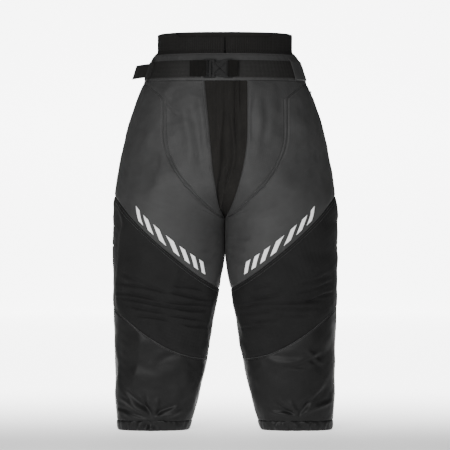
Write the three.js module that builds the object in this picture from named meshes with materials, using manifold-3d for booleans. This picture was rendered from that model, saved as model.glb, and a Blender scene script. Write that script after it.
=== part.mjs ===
// Full-length padded goalkeeper trousers, modelled as they hang from the waist: sewn outer panels,
// foam pads and linings in layers, a webbing belt with a side-release buckle, and an elastic
// kidney band that closes at the front. Millimetres, +Z up, the front faces -Y. "Right" and "left"
// are the wearer's, so the right leg is on the -X side. Heights are measured up from the hem, and
// the finished group is lowered so that its origin is at the centre of the waist opening.
import * as THREE from 'three';
import { mergeVertices } from 'three/addons/utils/BufferGeometryUtils.js';
import Module from 'manifold-3d';

const wasm = await Module();
wasm.setup();

// ---------- driving dimensions ----------

// Lengths up the garment.
const CALF_LENGTH = 350; // hem to knee hinge line
const THIGH_LENGTH = 216; // knee hinge line to crotch
const HIP_ABOVE_CROTCH = 94;
const RISE = 369; // crotch to the lower edge of the waistband
const ABOVE_BELT = 10; // satin strip left showing above the belt loops
const KIDNEY_BAND_HEIGHT = 56;

// Half-widths and depths of the garment, front and back measured from the side seams.
const HEM = { outer: 290, inner: 96, front: 58, back: 62 };
const ANKLE = { outer: 297, inner: 67, front: 70, back: 75 };
const CALF = { outer: 298, inner: 44, front: 82, back: 88 };
const KNEE = { outer: 302, inner: 20, front: 96, back: 98 };
const THIGH = { outer: 304, inner: 1.5, front: 106, back: 110 };
const CROTCH = { outer: 304, inner: 1.5, front: 112, back: 118 };
const HIP = { outer: 293, inner: 1.5, front: 122, back: 130 };
const SEAT = { outer: 270, inner: 0, front: 128, back: 140 };
const FLANK = { outer: 243, inner: 0, front: 124, back: 136 };
const WAIST = { outer: 219, inner: 0, front: 116, back: 126 };
const WAIST_TOP = { outer: 193, inner: 0, front: 108, back: 116 };
const BAND = { outer: 182, inner: 0, front: 105, back: 111 };
const SQUARENESS = 2.3; // 2 is an ellipse, more is squarer

// Layers, measured inwards from the outer face of the shell fabric.
const SHELL = 2;
const PAD_INSET = 6;
const PAD = 8;
const LINING_INSET = 18;
const LINING = 2;
const SEAT_ROOM = 2.5; // between the hip pads and the seat lining, over the lining's usual room
const GUSSET_INSET = 6.5;

// Seams.
const SEAM_GAP = 1.6;
const KNEE_PANEL_UP = { inner: 31, outer: 279 }; // from the knee hinge line up, at inseam and side
const KNEE_PANEL_DOWN = { inner: 157, outer: 20 }; // and down
const PRINCESS_X = 162; // the straight part of the curved front seam
const PRINCESS_BEND_BELOW = 145; // from the waistband down to where it curves in to the crotch
const HIP_CORNER_BELOW = 49; // and to where it turns out to the side seam
const FLY_TOP_HALF_WIDTH = 60;
const KNEE_BACK_UP = { inner: 31, outer: 146 }; // stretch panel behind the knee
const KNEE_BACK_DOWN = { inner: 135, outer: 20 };
const ANKLE_HEIGHT = 100;
const CALF_BELOW_KNEE = 140;

// Joints and the room that they need.
const KNEE_AXIS_Y = 30;
const HIP_AXIS_Y = -40;
const JOINT_CLEARANCE = 2;
const EXTENSION_ROOM = 36; // seat panel above the hip line, for the thigh to swing back

// Belt, buckle and band.
const WEBBING = 1.8;
const BELT_WIDTH = 46;
const BAND_THICKNESS = 2.6;
const WING_THICKNESS = 3.4;
const PATCH = 1.2; // hook and loop tape
const ELASTIC = 1.5;
const LAYER_GAP = 0.7;
const LOOP_PLACES = { right: 0.8, backRight: 0.58, backLeft: 0.42, tunnel: 0.19 }; // round the waist
const LOOP_MARGIN = 7; // how far a belt loop's feet reach past the belt
const BUCKLE_HEIGHT = 50;
const BUCKLE_DEPTH = 11;
const BUCKLE_LEFT = -57;
const BUCKLE_MOUTH = -36;
const BUCKLE_RIGHT = 17;
const BUCKLE_WALL = 1.8;
const BAR = 4.5;
const SLOT = 5;
const PRONG_WIDTH = 6;
const PRONG_CLEARANCE = 1;
const HEM_BAND_HEIGHT = 28;
const HEM_BAND_THICKNESS = 3;

// Heights worked out from the lengths.
const KNEE_Z = CALF_LENGTH;
const CROTCH_Z = KNEE_Z + THIGH_LENGTH;
const HIP_Z = CROTCH_Z + HIP_ABOVE_CROTCH;
const WAIST_Z = CROTCH_Z + RISE;
const WAIST_TOP_Z = WAIST_Z + BELT_WIDTH + 2 * LOOP_MARGIN + ABOVE_BELT;
const BAND_TOP_Z = WAIST_TOP_Z + SEAM_GAP + KIDNEY_BAND_HEIGHT;
const BELT_Z = WAIST_Z + BELT_WIDTH / 2 + LOOP_MARGIN;
const PRINCESS_BEND = WAIST_Z - PRINCESS_BEND_BELOW;
const HIP_CORNER = WAIST_Z - HIP_CORNER_BELOW;
const RISE_FRONT_TOP = CROTCH_Z + 124; // where the two legs have become one front
const RISE_BACK_TOP = CROTCH_Z + 150;
const FLY_BOTTOM = CROTCH_Z + 24;
const PANEL_TOP = WAIST_Z - SEAM_GAP;
const HEM_BAND_TOP = HEM_BAND_HEIGHT;

// ---------- the garment's outer surface ----------

const STATIONS = [
	[0, HEM],
	[ANKLE_HEIGHT, ANKLE],
	[KNEE_Z - CALF_BELOW_KNEE, CALF],
	[KNEE_Z, KNEE],
	[CROTCH_Z - 86, THIGH],
	[CROTCH_Z, CROTCH],
	[HIP_Z, HIP],
	[HIP_Z + 130, SEAT],
	[WAIST_Z - 55, FLANK],
	[WAIST_Z, WAIST],
	[WAIST_TOP_Z, WAIST_TOP],
	[WAIST_TOP_Z + 12, BAND],
	[BAND_TOP_Z, BAND],
];

// A smooth value at a height, through one measure of the stations.
function measure(key, height) {
	const last = STATIONS.length - 1;
	const at = THREE.MathUtils.clamp(height, STATIONS[0][0], STATIONS[last][0]);
	let i = 0;
	while (i < last - 1 && STATIONS[i + 1][0] < at) i++;
	const slope = (a, b) => (STATIONS[b][1][key] - STATIONS[a][1][key]) / (STATIONS[b][0] - STATIONS[a][0]);
	const span = STATIONS[i + 1][0] - STATIONS[i][0];
	const t = (at - STATIONS[i][0]) / span;
	const here = slope(i, i + 1);
	// A tangent is level where the slopes on its two sides differ in sign, so nothing overshoots.
	const tangent = (before, after) => (before * after <= 0 ? 0 : (2 * before * after) / (before + after));
	const m0 = i > 0 ? tangent(slope(i - 1, i), here) : here;
	const m1 = i + 2 <= last ? tangent(here, slope(i + 1, i + 2)) : here;
	const a = STATIONS[i][1][key];
	const b = STATIONS[i + 1][1][key];
	const t2 = t * t;
	const t3 = t2 * t;
	return (2 * t3 - 3 * t2 + 1) * a + (t3 - 2 * t2 + t) * span * m0
		+ (3 * t2 - 2 * t3) * b + (t3 - t2) * span * m1;
}

const rounded = (v) => Math.sign(v) * Math.abs(v) ** (2 / SQUARENESS);

// The angle at which a side's section starts: a quarter turn where the two sides are one tube,
// nought where each leg is a tube of its own. It draws the seam that runs under the crotch.
function startAngle(height, riseTop) {
	const up = THREE.MathUtils.clamp((height - CROTCH_Z) / (riseTop - CROTCH_Z), 0, 1);
	return (Math.PI / 2) * up;
}

// Half of the section at a height: its middle, its half-width and its depth.
function section(height, inset, isBack) {
	const start = startAngle(height, isBack ? RISE_BACK_TOP : RISE_FRONT_TOP);
	const outer = measure('outer', height) - inset;
	const inner = measure('inner', height) + inset * Math.cos(start);
	const halfWidth = (outer - inner) / (1 + rounded(Math.cos(start)));
	const depth = measure(isBack ? 'back' : 'front', height) - inset;
	return { start, middle: outer - halfWidth, halfWidth, depth };
}

// A point of the garment. turn runs from 0 at the inner edge, over the front, to 1 at the side
// seam, and on over the back to 2. side is -1 on the right leg and 1 on the left.
function skin(side, turn, height, inset = 0) {
	const isBack = turn > 1;
	const { start, middle, halfWidth, depth } = section(height, inset, isBack);
	const angle = start + (isBack ? 2 - turn : turn) * (Math.PI - start);
	const x = middle - halfWidth * rounded(Math.cos(angle));
	const y = depth * rounded(Math.sin(angle));
	return new THREE.Vector3(side * x, isBack ? y : -y, height);
}

// The turn at which the front surface is x from the centre.
function turnAt(x, height) {
	const { start, middle, halfWidth } = section(height, 0, false);
	const share = THREE.MathUtils.clamp((middle - x) / halfWidth, -1, 1);
	const cosine = Math.sign(share) * Math.abs(share) ** (SQUARENESS / 2);
	return THREE.MathUtils.clamp((Math.acos(cosine) - start) / (Math.PI - start), 0, 1);
}

// ---------- seam lines ----------

const across = (turn) => (1 - rounded(Math.cos(Math.PI * turn))) / 2;
const kneeSeam = (turn) => {
	const s = across(turn);
	const rise = THREE.MathUtils.lerp(KNEE_PANEL_UP.inner, KNEE_PANEL_UP.outer, 0.58 * s + 0.42 * s * s);
	return KNEE_Z + rise;
};
const shinSeam = (turn) => {
	const s = across(turn);
	const drop = THREE.MathUtils.lerp(KNEE_PANEL_DOWN.inner, KNEE_PANEL_DOWN.outer, 0.1 * s + 0.9 * s * s);
	return KNEE_Z - drop;
};

// The seams behind the knee run straight across, higher at the side. turn is above 1 here.
const kneeBackTop = (turn) =>
	THREE.MathUtils.lerp(KNEE_Z + KNEE_BACK_UP.inner, KNEE_Z + KNEE_BACK_UP.outer, across(2 - turn));
const kneeBackBottom = (turn) =>
	THREE.MathUtils.lerp(KNEE_Z - KNEE_BACK_DOWN.inner, KNEE_Z - KNEE_BACK_DOWN.outer, across(2 - turn));

// The curved front seam: out along the hip, straight down, then round to the crotch.
const princessCurve = new THREE.QuadraticBezierCurve(
	new THREE.Vector2(PRINCESS_X, PRINCESS_BEND),
	new THREE.Vector2(PRINCESS_X - 4, PRINCESS_BEND - 105),
	new THREE.Vector2(4, CROTCH_Z),
);
function princessX(height) {
	if (height >= HIP_CORNER) {
		const out = (height - HIP_CORNER) / (PANEL_TOP - HIP_CORNER);
		return THREE.MathUtils.lerp(PRINCESS_X, measure('outer', PANEL_TOP), out);
	}
	if (height >= PRINCESS_BEND) return PRINCESS_X;
	let low = 0;
	let high = 1;
	for (let k = 0; k < 40; k++) {
		const t = (low + high) / 2;
		if (princessCurve.getPoint(t).y > height) low = t;
		else high = t;
	}
	return princessCurve.getPoint(low).x;
}

// The turn at a given share of the way round a closed leg, from 0 at the inseam to 1 at the side.
function turnAtShare(share, height) {
	const start = startAngle(height, RISE_FRONT_TOP);
	return (Math.PI * share - start) / (Math.PI - start);
}

function shareAtTurn(turn, height) {
	const start = startAngle(height, RISE_FRONT_TOP);
	return (start + turn * (Math.PI - start)) / Math.PI;
}

// Half the width of the open fly: nearly parallel at the top, closing to a point at the crotch.
function flyX(height) {
	const up = THREE.MathUtils.clamp((height - CROTCH_Z) / (PANEL_TOP - CROTCH_Z), 0, 1);
	return FLY_TOP_HALF_WIDTH * Math.sin((Math.PI / 2) * Math.min(1, up * 1.5)) ** 0.9;
}

// ---------- solids ----------

const group = new THREE.Group();
const material = (color, roughness, metalness = 0) =>
	new THREE.MeshStandardMaterial({ color, roughness, metalness });
const satin = material(0x3a3a39, 0.5);
const cordura = material(0x1e1e1e, 0.85);
const stretch = material(0x23211f, 0.9);
const foam = material(0x55585c, 0.95);
const liningCloth = material(0x2c2d2f, 0.9);
const webbing = material(0x1d1b19, 0.8);
const elastic = material(0x191817, 0.85);
const plastic = material(0x2a2a2a, 0.4);
const hook = material(0x141414, 1);
const metal = material(0x9aa4ad, 0.35, 0.9);

function addMesh(name, geometry, finish) {
	const mesh = new THREE.Mesh(geometry, finish);
	mesh.name = name;
	group.add(mesh);
	return mesh;
}

function welded(geometry) {
	const plain = geometry.clone();
	plain.deleteAttribute('normal');
	plain.deleteAttribute('uv');
	return mergeVertices(plain, 1e-3);
}

// A solid skinned over closed outlines with the same number of corners. The first half of an
// outline faces the second half, taken backwards, so an end is closed by rungs between the two,
// and their quads are split the same way, so that a thin sheet keeps its thickness where it twists.
// A ring that closes on itself has no ends.
function loft(sections, closesOnItself = false) {
	const rows = sections.length;
	const corners = sections[0].length;
	const index = [];
	const at = (row, corner) => (row % rows) * corners + (corner % corners);
	const quad = (a, b, c, d) => index.push(a, b, c, a, c, d);
	for (let i = 0; i < rows - (closesOnItself ? 0 : 1); i++) {
		for (let k = 0; k < corners; k++) {
			const [a, b, c, d] = [at(i, k), at(i, k + 1), at(i + 1, k + 1), at(i + 1, k)];
			if (k < corners / 2) quad(a, b, c, d);
			else quad(b, c, d, a);
		}
	}
	if (!closesOnItself) {
		for (let k = 0; k < corners / 2 - 1; k++) {
			const far = corners - 1 - k;
			quad(at(0, k), at(0, far), at(0, far - 1), at(0, k + 1));
			quad(at(rows - 1, k), at(rows - 1, k + 1), at(rows - 1, far - 1), at(rows - 1, far));
		}
	}
	const points = sections.flat();
	let volume = 0;
	for (let i = 0; i < index.length; i += 3) {
		const cross = points[index[i + 1]].clone().cross(points[index[i + 2]]);
		volume += points[index[i]].dot(cross);
	}
	if (volume < 0) index.reverse();
	const geometry = new THREE.BufferGeometry().setFromPoints(points);
	geometry.setIndex(index);
	geometry.computeVertexNormals();
	return geometry;
}

const steps = (count, from = 0, to = 1) =>
	Array.from({ length: count + 1 }, (_, i) => from + ((to - from) * i) / count);

// A layer of cloth or foam: rows of places on the garment, given a thickness inwards. Each place
// is [side, turn, height].
function layer(name, rows, inset, thickness, finish) {
	const sections = rows.map((row) => [
		...row.map(([side, turn, height]) => skin(side, turn, height, inset)),
		...row.toReversed().map(([side, turn, height]) => skin(side, turn, height, inset + thickness)),
	]);
	return addMesh(name, loft(sections), finish);
}

// A point of the body above the crotch. around runs from 0 at the front centre over the left
// side to 0.5 at the back and on over the right side to 1, and goes on below 0 and above 1.
function bodyPoint(around, height, offset) {
	const share = around - Math.floor(around);
	const turn = Math.min(share, 1 - share) * 4;
	const point = skin(share <= 0.5 ? 1 : -1, turn, height, -offset);
	return turn === 0 || turn === 2 ? point.setX(0) : point;
}

// A profile of [offset outwards, height] corners swept round the body.
function sweepBody(name, profile, from, to, count, finish) {
	const closes = to - from === 1;
	const places = steps(count, from, to).slice(0, closes ? -1 : undefined);
	const outline = (around) => (typeof profile === 'function' ? profile(around) : profile);
	const sections = places.map((around) =>
		outline(around).map(([offset, height]) => bodyPoint(around, height, offset)));
	return addMesh(name, loft(sections, closes), finish);
}
// A band's outline: its outer face from the bottom up, then its inner face from the top down.
const strip = (inner, outer, ...levels) => [
	...levels.map((height) => [outer, height]),
	...levels.toReversed().map((height) => [inner, height]),
];

// Where round the waist the front is x from the centre.
const aroundAt = (x, height) => {
	const share = turnAt(Math.abs(x), height) / 4;
	return x >= 0 ? share : -share;
};

// The same, round one leg at the hem.
function sweepLeg(name, side, profile, count, finish) {
	const sections = steps(count, 0, 2).slice(0, -1).map((turn) =>
		profile.map(([inset, height]) => skin(side, turn, height, inset)));
	return addMesh(name, loft(sections, true), finish);
}

function boxAt(low, high) {
	const [a, b] = [new THREE.Vector3(...low), new THREE.Vector3(...high)];
	const size = b.clone().sub(a);
	const middle = a.add(b).multiplyScalar(0.5);
	return new THREE.BoxGeometry(size.x, size.y, size.z).translate(middle.x, middle.y, middle.z);
}

function solid(geometry) {
	const g = welded(geometry);
	return new wasm.Manifold(new wasm.Mesh({
		numProp: 3,
		vertProperties: new Float32Array(g.getAttribute('position').array),
		triVerts: new Uint32Array(g.index.array),
	}));
}

function fromSolid(made) {
	const m = made.getMesh();
	const g = new THREE.BufferGeometry();
	g.setAttribute('position', new THREE.BufferAttribute(m.vertProperties, 3));
	g.setIndex(new THREE.BufferAttribute(m.triVerts, 1));
	g.computeVertexNormals();
	return g;
}

// An outline in the x-z plane, given a depth from y = front back to y = back.
function plate(outline, front, back, holes = []) {
	const shape = new THREE.Shape(outline.map(([x, z]) => new THREE.Vector2(x, z)));
	shape.holes = holes.map((h) => new THREE.Path(h.map(([x, z]) => new THREE.Vector2(x, z))));
	const g = new THREE.ExtrudeGeometry(shape, { depth: back - front, bevelEnabled: false });
	return g.rotateX(Math.PI / 2).translate(0, back, 0);
}

// ---------- legs ----------

const EDGE = 0.001; // a panel's edge beside the side seam or inseam, as a share of its turn
const COLUMNS = 10;
const TIP_ROWS = 9;
const TIP_SHARE = 0.66; // how far up the turn-out the narrow tip of the thigh panel ends
const tipTop = HIP_CORNER + TIP_SHARE * (PANEL_TOP - HIP_CORNER);
const seamLevels = [...steps(TIP_ROWS, FLY_BOTTOM, HIP_CORNER), tipTop];

// The turn of the curved front seam, moved by half a seam gap to one side.
const princessTurn = (height, shift) => Math.min(turnAt(princessX(height) + shift, height), 1 - EDGE);

function thighFrontPanel(name, side) {
	const seamTurn = (height) => (height < CROTCH_Z ? EDGE : princessTurn(height, SEAM_GAP / 2));
	const crotchLevels = steps(3, CROTCH_Z, FLY_BOTTOM).slice(0, -1);
	const inseamLevels = steps(4, KNEE_Z + KNEE_PANEL_UP.inner, CROTCH_Z).slice(0, -1);
	const innerLevels = [...inseamLevels, ...crotchLevels, ...seamLevels];
	const outerLevels = steps(innerLevels.length - 1, KNEE_Z + KNEE_PANEL_UP.outer, seamLevels.at(-1));
	const rows = innerLevels.map((innerHeight, j) => {
		const innerShare = shareAtTurn(seamTurn(innerHeight), innerHeight);
		return steps(COLUMNS).map((s) => {
			const share = THREE.MathUtils.lerp(innerShare, 1 - EDGE, s);
			const straight = THREE.MathUtils.lerp(innerHeight, outerLevels[j], s);
			const height = j === 0 ? kneeSeam(share) + SEAM_GAP : straight;
			return [side, turnAtShare(share, height), height];
		});
	});
	layer(name, rows, 0, SHELL, satin);
}

function frontPanel(name, side) {
	const rows = [...seamLevels, PANEL_TOP].map((height) => steps(6).map((s) => {
		const outerTurn = height >= PANEL_TOP ? 1 - EDGE : princessTurn(height, -SEAM_GAP);
		return [side, THREE.MathUtils.lerp(turnAt(flyX(height), height), outerTurn, s), height];
	}));
	layer(name, rows, 0, SHELL, satin);
}

// A panel between two edges, each a height or a height for each turn.
function between(name, side, [from, to], low, high, rows, columns, inset, thickness, finish) {
	const at = (edge, turn) => (typeof edge === 'function' ? edge(turn) : edge);
	const grid = steps(rows).map((t) => steps(columns, from, to).map((turn) =>
		[side, turn, THREE.MathUtils.lerp(at(low, turn), at(high, turn), t)]));
	layer(name, grid, inset, thickness, finish);
}

const FRONT = [EDGE, 1 - EDGE];
const BACK = [1 + EDGE, 2 - EDGE];
const WHOLE = [EDGE, 2 - EDGE];
const PAD_SPAN = [0.12, 0.88];
const THIGH_PAD_START = 0.3;
const PAD_MARGIN = 12; // from the curved front seam to the edge of the thigh pad
const half = SEAM_GAP / 2;
const kneeBackRoom = KNEE.back - KNEE_AXIS_Y; // how far behind its hinge line the calf reaches
const thighLiningLow = KNEE_Z + kneeBackRoom - LINING_INSET + JOINT_CLEARANCE + 2;
const kneePadLow = KNEE_Z - 110;
const kneePadHigh = KNEE_Z + 122;

function leg(word, side) {
	thighFrontPanel(`thigh_front_panel_${word}`, side);
	between(`thigh_back_panel_${word}`, side, BACK, (turn) => kneeBackTop(turn) + SEAM_GAP,
		HIP_Z - JOINT_CLEARANCE, 4, COLUMNS, 0, SHELL, satin);
	const kneeRows = steps(4).map((t) => steps(COLUMNS, EDGE, 1 - EDGE).map((share) => {
		const height = THREE.MathUtils.lerp(shinSeam(share) + SEAM_GAP, kneeSeam(share) - SEAM_GAP, t);
		return [side, turnAtShare(share, height), height];
	}));
	layer(`knee_panel_${word}`, kneeRows, 0, SHELL, cordura);
	between(`knee_back_panel_${word}`, side, BACK, (turn) => kneeBackBottom(turn) + SEAM_GAP,
		(turn) => kneeBackTop(turn) - SEAM_GAP, 2, COLUMNS, 0, SHELL, stretch);
	between(`thigh_lining_${word}`, side, WHOLE, thighLiningLow, HIP_Z - JOINT_CLEARANCE,
		5, 2 * COLUMNS, LINING_INSET, LINING, liningCloth);
	const padTop = HIP_Z - JOINT_CLEARANCE;
	const padStart = (height) => Math.max(turnAtShare(THIGH_PAD_START, height),
		height < FLY_BOTTOM ? 0 : princessTurn(height, PAD_MARGIN));
	const padRows = steps(5, kneePadHigh + 8, padTop).map((height) =>
		steps(8).map((s) => [side, THREE.MathUtils.lerp(padStart(height), PAD_SPAN[1], s), height]));
	layer(`thigh_pad_${word}`, padRows, PAD_INSET, PAD, foam);
	between(`knee_pad_${word}`, side, PAD_SPAN, kneePadLow, kneePadHigh, 4, 8, PAD_INSET, PAD, foam);

	between(`shin_panel_${word}`, side, FRONT, HEM_BAND_TOP + half, (turn) => shinSeam(turn) - SEAM_GAP,
		4, COLUMNS, 0, SHELL, satin);
	between(`calf_panel_${word}`, side, BACK, HEM_BAND_TOP + half,
		(turn) => kneeBackBottom(turn) - SEAM_GAP, 3, COLUMNS, 0, SHELL, satin);
	between(`shin_lining_${word}`, side, WHOLE, HEM_BAND_TOP + half, KNEE_Z - JOINT_CLEARANCE,
		3, 2 * COLUMNS, LINING_INSET, LINING, liningCloth);
	between(`shin_pad_${word}`, side, PAD_SPAN, HEM_BAND_TOP + 30, kneePadLow - 8, 3, 8, PAD_INSET, PAD, foam);
	sweepLeg(`hem_band_${word}`, side, strip(HEM_BAND_THICKNESS, 0, 0, HEM_BAND_TOP - half), 24, satin);
	const elasticInset = HEM_BAND_THICKNESS + LAYER_GAP + 1.5;
	sweepLeg(`hem_elastic_${word}`, side, strip(elasticInset + ELASTIC, elasticInset, 4, HEM_BAND_TOP - 4),
		24, elastic);
}

// ---------- seat ----------

const seatBottomFront = HIP_Z + HIP.front + HIP_AXIS_Y - LINING_INSET + JOINT_CLEARANCE + 4;
const padBottomFront = seatBottomFront + LINING_INSET - PAD_INSET;
const seatBottomBack = HIP_Z + EXTENSION_ROOM;

// The lower edge of what hangs above the hip hinge: high in front, where the thigh folds up to it,
// and low behind. It steps down over the last fifth of the front, behind the hinge line.
function foldEdge(front, back) {
	return (turn) => {
		const t = THREE.MathUtils.smoothstep(turn, 0.86, 1);
		return THREE.MathUtils.lerp(front, back, t);
	};
}

function seat(word, side) {
	frontPanel(`front_panel_${word}`, side);
	between(`seat_panel_${word}`, side, BACK, seatBottomBack, PANEL_TOP, 4, COLUMNS, 0, SHELL, satin);
	between(`seat_gusset_${word}`, side, BACK, HIP_Z - JOINT_CLEARANCE + SEAM_GAP, seatBottomBack - SEAM_GAP,
		1, COLUMNS, 0, SHELL, stretch);
	between(`hip_pad_${word}`, side, [0.52, 1.6], foldEdge(padBottomFront, seatBottomBack), WAIST_Z - 20,
		5, 16, PAD_INSET, PAD, foam);
}

function flyGusset() {
	const levels = steps(8, FLY_BOTTOM, PANEL_TOP);
	const sections = levels.map((height) => {
		const reach = aroundAt(flyX(height) + 10, height);
		const places = steps(10, -reach, reach);
		const face = (inset) => places.map((around) => bodyPoint(around, height, -inset));
		return [...face(GUSSET_INSET), ...face(GUSSET_INSET + SHELL).reverse()];
	});
	addMesh('fly_gusset', loft(sections), stretch);
}

function seatLining() {
	const edge = foldEdge(seatBottomFront, seatBottomBack);
	const top = WAIST_Z - SEAM_GAP;
	const profile = (around) => {
		const low = edge(Math.min(around, 1 - around) * 4);
		const outer = -LINING_INSET - SEAT_ROOM;
		return strip(outer - LINING, outer, ...steps(4, low, top));
	};
	sweepBody('seat_lining', profile, 0, 1, 44, liningCloth);
}

function tailPad() {
	const low = seatBottomBack + 30;
	const high = WAIST_Z - 40;
	const sections = steps(3, low, high).map((height) => {
		const places = steps(6, 0.425, 0.575);
		const face = (inset) => places.map((around) => bodyPoint(around, height, -inset));
		return [...face(PAD_INSET), ...face(PAD_INSET + PAD).reverse()];
	});
	addMesh('tail_pad', loft(sections), foam);
}

// ---------- waist ----------

const RING_STEPS = 40;
const beltLow = BELT_Z - BELT_WIDTH / 2;
const beltHigh = BELT_Z + BELT_WIDTH / 2;
const beltInner = LAYER_GAP;
const beltOuter = beltInner + WEBBING;
const waistbandThickness = 3;
const wallY = (x, height, offset) => bodyPoint(aroundAt(x, height), height, offset).y;

function waist() {
	const levels = [WAIST_Z, beltLow, beltHigh, WAIST_TOP_Z];
	sweepBody('waistband', strip(-waistbandThickness, 0, ...levels), 0, 1, RING_STEPS, satin);
	const elasticOut = -waistbandThickness - LAYER_GAP - 1;
	const elasticLow = WAIST_Z + 8;
	const elasticHigh = elasticLow + 40;
	sweepBody('waist_elastic', strip(elasticOut - ELASTIC, elasticOut, elasticLow, elasticHigh), 0, 1,
		RING_STEPS, elastic);
	const innerBandOut = -WING_THICKNESS - LAYER_GAP - PATCH * 2 - LAYER_GAP;
	sweepBody('inner_band', strip(innerBandOut - BAND_THICKNESS, innerBandOut,
		WAIST_TOP_Z + 14, BAND_TOP_Z + 2), 0, 1, RING_STEPS, stretch);
	const bandLow = WAIST_TOP_Z + SEAM_GAP;
	const band = strip(-WING_THICKNESS, 0, bandLow, BAND_TOP_Z);
	const sideEdge = 0.004;
	const tip = aroundAt(2, bandLow);
	sweepBody('kidney_band_back', band, 0.25 + sideEdge, 0.75 - sideEdge, 20, elastic);
	sweepBody('kidney_wing_left', band, tip, 0.25 - sideEdge, 10, elastic);
	sweepBody('kidney_wing_right', band, 0.75 + sideEdge, 1 - tip, 10, elastic);
	const hookOut = -WING_THICKNESS - 0.3;
	const hookLow = bandLow + 12;
	const hookProfile = strip(hookOut - PATCH, hookOut, hookLow, BAND_TOP_Z - 6);
	const reach = aroundAt(46, bandLow);
	sweepBody('hook_patch_left', hookProfile, tip, reach, 3, hook);
	sweepBody('hook_patch_right', hookProfile, 1 - reach, 1 - tip, 3, hook);
	const loopOut = hookOut - PATCH - 0.3;
	sweepBody('loop_patch', strip(loopOut - PATCH + 0.3, loopOut, WAIST_TOP_Z + 15, BAND_TOP_Z - 5),
		-reach, reach, 6, hook);
}

// A strap over the belt: two feet on the waistband and a bridge that clears the webbing.
function beltLoop(name, from, to, low, high, count) {
	const foot = 0.4;
	const bridge = beltOuter + LAYER_GAP + WEBBING + LAYER_GAP;
	const thick = 1.6;
	const profile = [
		[foot, low], [bridge + thick, low + 3], [bridge + thick, high - 3], [foot, high],
		[foot, high - 5], [bridge, high - 7.5], [bridge, low + 7.5], [foot, low + 5],
	];
	sweepBody(name, profile, from, to, count, webbing);
}

function belt() {
	const start = aroundAt(BUCKLE_RIGHT + 4, BELT_Z);
	const end = 1 + aroundAt(BUCKLE_LEFT - 6, BELT_Z);
	sweepBody('belt_webbing', strip(beltInner, beltOuter, beltLow, beltHigh), start, end, RING_STEPS, webbing);
	const loopLow = beltLow - LOOP_MARGIN;
	const loopHigh = beltHigh + LOOP_MARGIN;
	const loopHalf = 0.006;
	const strapAt = (name, middle, halfShare, low = loopLow) =>
		beltLoop(name, middle - halfShare, middle + halfShare, low, loopHigh, 3);
	strapAt('belt_loop_right', LOOP_PLACES.right, 0.011);
	strapAt('belt_loop_back_right', LOOP_PLACES.backRight, loopHalf);
	strapAt('belt_loop_back_left', LOOP_PLACES.backLeft, loopHalf);
	strapAt('belt_tunnel_left', LOOP_PLACES.tunnel, 0.034);
}

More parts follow.
